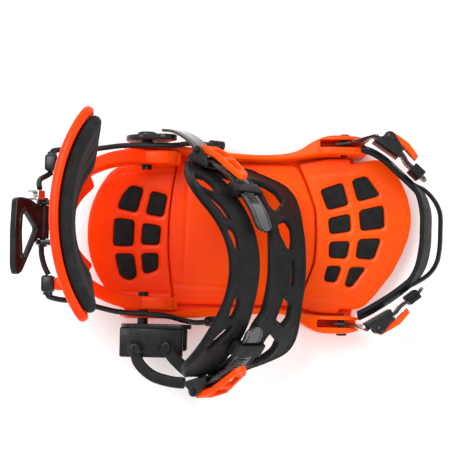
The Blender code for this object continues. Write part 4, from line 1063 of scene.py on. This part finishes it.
TOOTH_ROWS, TOOTH_HEIGHT = 5, 0.95
LADDER_RIM_DROP, LADDER_SUNK = 0.5, 0.45
LADDER_SHARES = (0, 0.03, 0.09, 0.14, 0.2, 0.225, 0.5, 0.775, 0.8, 0.86, 0.91, 0.97, 1)
LADDER_TIP_ROWS = 14


def make_ladder(name, node, body, pairs, teeth_from, teeth_to):
    """A ratchet ladder: a thin strip with sunk borders, saw teeth up its middle and a rounded tip."""
    low, high = ladder_rows(pairs)
    half = LADDER_THICKNESS / 2
    count = len(low)
    turn = -1 if name.endswith("right") else 1
    rings = []
    for i, (a, b) in enumerate(zip(low, high)):
        along = (low[min(i + 1, count - 1)] - low[max(i - 1, 0)]).normalized()
        out = along.cross((b - a).normalized()) * turn
        into_tip = min(max((i - count + 1 + LADDER_TIP_ROWS) / LADDER_TIP_ROWS, 0), 1)
        tip = max(0.3, math.sqrt(max(0.0, 1 - into_tip ** 2)))
        toothed_row = teeth_from < i / count < teeth_to
        over, under = [], []
        for share in LADDER_SHARES:
            point = a + (b - a) * (0.5 + (share - 0.5) * tip)
            rim = min(share, 1 - share)
            face = half - LADDER_RIM_DROP * (1 - ease(rim, 0, 0.04))
            raised = LADDER_SUNK * ease(rim, 0.19, 0.23)
            if toothed_row and rim > 0.21:
                raised = TOOTH_HEIGHT * (i % TOOTH_ROWS) / (TOOTH_ROWS - 1)
            over.append(point + out * (face - LADDER_SUNK * ease(rim, 0.1, 0.14) + raised))
            under.append(point - out * face)
        rings.append(over + under[::-1])
    return skin(name, rings, GLOSS, body=body, replaces=[node])


def ankle_ladder_pairs(start, end, root):
    pairs = []
    c, n = math.cos(STRAP_LEAN), math.sin(STRAP_LEAN)
    for x, y, z in root:
        pairs.append([Vector((x + n * w, y, z - c * w)) for w in (-LADDER_HALF_WIDTH, LADDER_HALF_WIDTH)])
    count = 16
    for i in range(count):
        u = start + (end - start) * i / (count - 1)
        lift = LADDER_LIFT - 1.6 * ease(i / (count - 1), 0.4, 0.75)
        pairs.append([arch_place(u, LADDER_W + w, lift) for w in (-LADDER_HALF_WIDTH, LADDER_HALF_WIDTH)])
    return pairs


BUCKLE_HALF_WIDTH, CHEEK_THICKNESS, AXLE_Z = 12.2, 2.6, 9.4
LEVER_LOW_Z, LEVER_TOP_Z, LEVER_HALF_WIDTH = 9.3, 13.5, 8.8


def side_place(place, low):
    """Maps a cheek's outline in its buckle's x and z, and its thickness, into the buckle's frame."""
    return lambda x, z, h: place @ (Vector((x, low + h, z)) * MM) / MM


def make_buckle(tag, place, reach, droop, body):
    """Ratchet buckle: U-shaped frame, lever with two windows on a toothed barrel, and its pawl."""
    cheek = arc(0, 8.2, 4.6, 55, 200, 9) + [(-7.4, 3), (-7, 0.4), (13.6, 0.4), (13.8, 4.5), (10, 8.6)]
    parts = [block("seat", (-8, -12.1, 0), (14, 12.1, 2.0), 0.7, BLACK, into=place)]
    for low in (-BUCKLE_HALF_WIDTH, BUCKLE_HALF_WIDTH - CHEEK_THICKNESS):
        parts.append(relief("cheek", [round_loop(cheek, 1.4, 3)], side_place(place, low), CHEEK_THICKNESS, 0,
                            BLACK, edge=0.6, step=1.0))
    parts.append(turned("rivet", [(2.7, 0), (2.4, 0.5), (1.2, 0.7)], (10.6, 0, 2.0), (10.6, 0, 4), DARK_STEEL,
                        steps=24, into=place))
    joined("buckle_body_" + tag, parts, body, ["buckle_frame_" + tag])
    make_buckle_lever(tag, place, reach, droop)
    make_pawl(tag, place)
    make_pin(tag, place, body)


def make_buckle_lever(tag, place, reach, droop):
    """Tapered lever with two windows; past its bend it falls toward the strap by droop a millimetre."""
    half = LEVER_HALF_WIDTH
    edge = mirrored([(-1.8, -half), (8, -half), (reach - 4, -5.6), (reach, -2.8)])
    first = max(reach * 0.45, 13.6)
    second, third = max(reach * 0.54, first + 2.2), reach * 0.83
    windows = [[(6, -5.8), (first, -5), (first, 5), (6, 5.8)]]
    windows.append([(second, -4.8), (third, -3.2), (third, 3.2), (second, 4.8)])
    body = "buckle_lever_" + tag

    def bent(x, y, z):
        return (x, y, z - max(0.0, x - LEVER_BEND_X) * droop)

    plate = relief("plate", [round_loop(edge, 1.8)] + [round_loop(w, 1.2) for w in windows], bent,
                   lambda x, y, d: LEVER_TOP_Z - 0.9 * ease(d, 1.0, 1.5), LEVER_LOW_Z, ORANGE, edge=0.55,
                   step=0.8, into=place)
    teeth = 9
    barrel = []
    for k in range(teeth):
        a = 2 * math.pi * k / teeth
        for turn, radius in ((0.0, 2.2), (0.18, 2.9), (0.38, 2.9), (0.56, 2.2)):
            angle = a + turn * 2 * math.pi / teeth
            barrel.append((radius * math.cos(angle), AXLE_Z + radius * math.sin(angle)))
    roller = relief("barrel", [barrel], side_place(place, -half), 2 * half, 0, ORANGE, edge=0.25, step=1.0)
    joined("lever_moulding_" + tag, [plate, roller], body, [body])


def make_pawl(tag, place):
    """Pawl plate with three catches under it."""
    body = "buckle_pawl_" + tag
    edge = round_loop([(6.7, -4.5), (14.3, -4.5), (14.3, 4.5), (6.7, 4.5)], 1.2)
    relief("pawl_catch_" + tag, [edge], flat_place, lambda x, y, d: 8.8 - 0.5 * ease(abs(x - 12), 1.5, 2.5),
           lambda x, y, d: 6.7 + 0.45 * ((x - 6.7) % 2.5) / 2.5, PAWL, edge=0.4, step=0.6, into=place,
           body=body, replaces=[body])


def make_pin(tag, place, body):
    profile = [(1.9, 0), (2.6, 0.35), (2.6, 0.9), (1.6, 0.9), (1.6, 25.5), (2.6, 25.5), (2.6, 26.05),
               (1.9, 26.4)]
    turned("buckle_axle_" + tag, profile, (0, -13.2, AXLE_Z), (0, 13.2, AXLE_Z), DARK_STEEL, steps=32,
           into=place, body=body, replaces=["buckle_pin_" + tag])


def make_keeper(tag, place, body, half_width=14.5):
    """Strap loop that holds the ladder's free end down on the band."""
    length, height = 9.8, 7.3
    outer = [(-half_width, 0), (half_width, 0), (half_width, height), (-half_width, height)]
    reach = LADDER_HALF_WIDTH + 0.7
    inner = [(-reach, 1.5), (reach, 1.5), (reach, 5.9), (-reach, 5.9)]

    def across(y, z, h):
        return place @ (Vector((h - length / 2, y, z)) * MM) / MM

    relief("keeper_loop_" + tag, [round_loop(outer, 2.2), round_loop(inner, 1.0)], across, length, 0,
           RUBBER, edge=0.7, step=0.8, body=body, replaces=["ladder_keeper_" + tag])


LINK_PINS = {"rear": (-83, -88.5), "front": (-60, -87)}


def make_hinge_arm():
    """Arm on the big-toe side, sunk inside a rim between its round boss and the ladder's root."""
    edge = arc(PIVOT_X, PIVOT_Z, 16, 100, 330, 28) + arc(-65, 51, 9, -40, 125, 12)
    hole = circle(PIVOT_X, PIVOT_Z, 4.4, 32)
    thick = ARM_OUTER["left"] - ARM_INNER["left"]
    relief("hinge_arm_moulding", [edge, hole], lambda x, z, h: (x, ARM_INNER["left"] + h, z),
           lambda x, z, d: thick - 0.9 * ease(d, 2.0, 2.8), 0, BLACK, edge=0.8, step=1.2, body="ankle_strap",
           replaces=["hinge_arm_left"])


def make_hinge_bracket():
    """Little-toe bracket: a plate round the pivot with a shelf and block that carry the links."""
    inner, outer = ARM_INNER["right"], ARM_OUTER["right"]
    edge = arc(PIVOT_X, PIVOT_Z, 16, 120, 300, 24) + [(-48, 32), (-42, 40), (-42, 52), (-48, 55)]
    plate = relief("plate", [round_loop(edge, 1.5, 2)], lambda x, z, h: (x, -outer + h, z), outer - inner, 0,
                   BLACK, edge=0.7, step=1.4)
    pocket = turned("pocket", [(8.0, 0), (8.0, 20)], (PIVOT_X, -outer, PIVOT_Z),
                    (PIVOT_X, -outer - 20, PIVOT_Z), BLACK)
    shelf = cut_out(block("shelf", (-95, -95, 45.9), (-48, 1 - outer, 51.7), 1.6, BLACK), pocket)
    parts = [plate, shelf, block("core", (-71, -90, 34), (-45, 1 - outer, 47), 2.0, BLACK)]
    for k in range(3):
        low = -92 + k * 2.6
        parts.append(block("rib", (low, -93, 44.6), (low + 1.1, -80, 46.4), 0.3, BLACK))
    profile = [(3.3, 0), (3.3, 0.9), (2.6, 1.5), (1.0, 1.5)]
    screw = turned("screw", profile, (-57, -89.4, 40.5), (-57, -94, 40.5), BLACK, steps=32)
    joined("hinge_bracket_moulding", parts + [screw], "ankle_strap", ["hinge_bracket_right"])


def make_link(name, points, half_width, pin_key):
    """A curved link with softly rounded edges, ringed round its pin."""
    x, y = LINK_PINS[pin_key]
    centre = route([(*p, 55.0) for p in points], 44)
    stations = []
    for i, point in enumerate(centre):
        along = (centre[min(i + 1, 43)] - centre[max(i - 1, 0)]).normalized()
        stations.append((point, Vector((-along.y, along.x, 0)), Vector((0, 0, 1)), half_width, 2.95, 1.5))
    arm = sweep("arm", stations, BLACK)
    eye = turned("eye", [(3.2, 0), (5.2, 0), (6.0, 0.8), (6.0, 5.2), (5.2, 6.0), (3.2, 6.0)], (x, y, 52),
                 (x, y, 60), BLACK)
    joined(name + "_moulding", [arm, eye], "ankle_strap", [name])


def make_link_pin(key):
    x, y = LINK_PINS[key]
    socket_bolt(key + "_link_bolt", (x, y, 44.2), (x, y, 70), 16.6, 4.8, 2.5, DARK_STEEL, "ankle_strap",
                key + "_link_pin")


def make_ankle_strap():
    make_band("upper_band", "ankle_strap_upper", UPPER_EDGE, UPPER_WINDOWS)
    make_band("lower_band", "ankle_strap_lower", LOWER_EDGE, LOWER_WINDOWS)
    left_root = [(-61.9, 75, 43.4), (-54.7, 73.5, 50.3), (-46.8, 69, 58), (-39.6, 62.5, 64.9)]
    make_ladder("ankle_ladder_strip_left", "ankle_ladder_left", "ankle_strap",
                ankle_ladder_pairs(12, 91, left_root), 0.35, 0.80)
    make_ladder("ankle_ladder_strip_right", "ankle_ladder_right", "ankle_strap",
                ankle_ladder_pairs(223, 154, []), 0.05, 0.74)
    seat = Matrix.Translation((-3.5 * MM, 0, 0))
    rows = ("ankle_left", 17, 1, 58, 0.25), ("ankle_right", 213.5, -1, 170.5, 0.35)
    for tag, u, turn, keep, droop in rows:
        make_buckle(tag, arch_frame(u, LADDER_W, BUCKLE_LIFT, turn) @ seat, 42, droop, "ankle_strap")
        make_keeper(tag, arch_frame(keep, LADDER_W, BUCKLE_LIFT - 0.1, turn), "ankle_strap")
    make_hinge_arm()
    make_hinge_bracket()
    rear_route = [LINK_PINS["rear"], (-80, -99), (-70, -108), (-57, -112), (-47, -113)]
    front_route = [LINK_PINS["front"], (-55, -94), (-49, -100), (-43, -105)]
    make_link("rear_link", rear_route, 4.2, "rear")
    make_link("front_link", front_route, 4.6, "front")
    make_link_pin("rear")
    make_link_pin("front")


# ---------------------------------------------------------------- toe strap

TOE_CURVE = [
    (77, 68), (84.9, 65.6), (93, 62.5), (101.8, 56.8), (110.6, 48.8), (120.1, 40.3), (128, 31.9),
    (132.3, 17.9), (132.7, 3.7), (132.2, -8.7), (129.3, -23), (123.2, -34.3), (114.9, -41.9), (106.2, -48.5),
    (97, -54.5), (89.1, -59.2), (80.7, -63.4),
]


def toe_point(t, out, z):
    (x, y), (dx, dy) = spline_at(TOE_CURVE, t)
    return Vector((x - dy * out, y + dx * out, z))


def toe_frame(t, out, turn=1):
    dx, dy = spline_at(TOE_CURVE, t)[1]
    return local_frame(toe_point(t, out, TOE_BAND_Z), (dx * turn, dy * turn, 0), (0, 0, -turn))


def toe_split(t):
    return ease(t, 0.315, 0.45) * (1 - ease(t, 0.58, 0.725))


def toe_strip(name, first, last, count, edges, half_thickness):
    """A rounded strip on the toe curve between two edges, each (out, z) for a share along it."""
    stations = []
    for i in range(count):
        t = first + (last - first) * i / (count - 1)
        a, b = (toe_point(t, *pair) for pair in edges(toe_split(t)))
        along = (toe_point(t + 0.004, 0, 0) - toe_point(t - 0.004, 0, 0)).normalized()
        across = (b - a).normalized()
        stations.append(((a + b) / 2, across, across.cross(along), (b - a).length / 2, half_thickness, 1.4))
    return sweep(name, stations, RUBBER)


def make_toe_strap():
    upper = toe_strip("upper", 0.052, 0.983, 170,
                      lambda b: ((-4.5 - 2 * b, 58.5 + 2 * b), (0.5 + 1.5 * b, 42 + 4 * b)), 1.8)
    lower = toe_strip("lower", 0.30, 0.735, 110,
                      lambda b: ((-1.5 + 12.3 * b, 50 - 14.5 * b), (0.5 + 12.3 * b, 42.2 - 12.2 * b)), 1.55)
    joined("toe_strap_moulding", [upper, lower], "toe_strap", ["toe_strap"])


def toe_ladder_pairs(side, start, end, drop_at):
    rail = RAIL_Y[side]
    pairs = []
    root = [(TOE_PIVOT_X - 6, rail, 26.5, 5.5), (TOE_PIVOT_X, rail, 29, 7.5)]
    root += [(TOE_PIVOT_X + 6.5, rail + 0.4, 34, 8.2), (TOE_PIVOT_X + 11, rail + 1.2, 41, 8.3)]
    for x, y, z, half in root:
        low, high = (x + 0.5 * half, side * y, z - 0.86 * half), (x - 0.5 * half, side * y, z + 0.86 * half)
        pairs.append([Vector(low), Vector(high)])
    count = 14
    for i in range(count):
        t = start + (end - start) * i / (count - 1)
        out = TOE_BUCKLE_LIFT + 5.15 - 2.05 * ease(side * (t - drop_at), -0.022, 0.022)
        pairs.append([toe_point(t, out, TOE_BAND_Z + z) for z in (-LADDER_HALF_WIDTH, LADDER_HALF_WIDTH)])
    return pairs


def make_toe_set():
    make_toe_strap()
    make_ladder("toe_ladder_strip_left", "toe_ladder_left", "toe_strap",
                toe_ladder_pairs(1, 0.085, 0.35, 0.235), 0.4, 0.9)
    make_ladder("toe_ladder_strip_right", "toe_ladder_right", "toe_strap",
                toe_ladder_pairs(-1, 0.99, 0.688, 0.815), 0.4, 0.9)
    seat = Matrix.Translation((-3.5 * MM, 0, 0))
    for tag, t, turn, keep in (("toe_left", 0.160, 1, 0.300), ("toe_right", 0.904, -1, 0.736)):
        make_buckle(tag, toe_frame(t, TOE_BUCKLE_LIFT, turn) @ seat, 26, 0.3, "toe_strap")
        make_keeper(tag, toe_frame(keep, TOE_BUCKLE_LIFT - 0.6, turn), "toe_strap", 12.0)


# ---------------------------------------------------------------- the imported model's own nodes


def dress(node, look, width=0.5):
    """Carries a CAD node over with a finished material and softened edges."""
    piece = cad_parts[node]
    for slot in piece.material_slots:
        slot.material = look[0]
    edge = piece.modifiers.new("edge", "BEVEL")
    edge.width = width * MM
    edge.segments = 3
    edge.limit_method = "ANGLE"
    edge.angle_limit = math.radians(40)


# ---------------------------------------------------------------- stage


def make_floor():
    n = Nodes("studio_floor")
    tone = n.mixed(n.band(n.noise(3, 2), 0.3, 0.7, 0, 1), (0.93, 0.93, 0.93), (0.96, 0.96, 0.96))
    n.finish(tone, n.band(n.noise(20, 2), 0.3, 0.7, 0.8, 0.9))
    mesh = bpy.data.meshes.new("floor")
    size = 3.0
    corners = [(-size, -size, 0), (size, -size, 0), (size, size, 0), (-size, size, 0)]
    mesh.from_pydata(corners, [], [(0, 1, 2, 3)])
    mesh.materials.append(n.material)
    floor = bpy.data.objects.new("floor", mesh)
    floor.location.z = -0.0005
    bpy.context.scene.collection.objects.link(floor)


def area_light(name, place, target, size, power):
    data = bpy.data.lights.new(name, "AREA")
    data.shape = "DISK"
    data.size = size
    data.energy = power
    light = bpy.data.objects.new(name, data)
    light.location = place
    light.rotation_euler = (Vector(target) - Vector(place)).to_track_quat("-Z", "Y").to_euler()
    bpy.context.scene.collection.objects.link(light)


def make_lights():
    world = bpy.data.worlds.new("studio")
    world.use_nodes = True
    world.node_tree.nodes["Background"].inputs["Color"].default_value = (1, 1, 1, 1)
    world.node_tree.nodes["Background"].inputs["Strength"].default_value = 0.85
    bpy.context.scene.world = world
    bpy.context.scene.view_settings.view_transform = "Standard"
    area_light("key", (-0.5, 0.5, 1.3), (0, 0, 0.05), 0.9, 14)
    area_light("fill", (0.8, -0.6, 1.0), (0, 0, 0.05), 1.0, 6)


def make_camera():
    """Nearly straight down, a little from the little-toe side, as far off as a long lens needs."""
    target, distance = Vector((-0.01875, 0.0069, 0.015)), 1.085
    elevation, roll = math.radians(86.3), math.radians(1.3)
    look = Vector((0, math.cos(elevation), -math.sin(elevation)))
    right = look.cross(Vector((0, 0, 1))).normalized()
    up = right.cross(look).normalized()
    right, up = right * math.cos(roll) + up * math.sin(roll), up * math.cos(roll) - right * math.sin(roll)
    data = bpy.data.cameras.new("camera")
    data.sensor_width, data.lens = 36.0, 112.64
    camera = bpy.data.objects.new("camera", data)
    place = Matrix((right, up, -look)).transposed().to_4x4()
    place.translation = target - look * distance
    camera.matrix_world = place
    bpy.context.scene.collection.objects.link(camera)
    bpy.context.scene.camera = camera


make_camera()
make_lights()
make_floor()
make_base()
make_footbeds()
make_toe_tray()
make_cushion("heel_studs", "heel_cushion", HEEL_BLOCKS, lambda x: HEEL_TOP)
make_cushion("toe_studs", "toe_cushion", TOE_BLOCKS, ramp_top)
make_base_hardware()
make_heel_loop()
make_lever_lugs()
make_highback()
make_highback_pad()
make_release_lever()
make_clevis()
make_guides()
make_cables()
make_ankle_strap()
make_toe_set()
dress("mounting_disc", BLACK)
dress("lever_pin", DARK_STEEL, 0.3)
for side_tag in ("left", "right"):
    dress("loop_screw_" + side_tag, DARK_STEEL, 0.3)
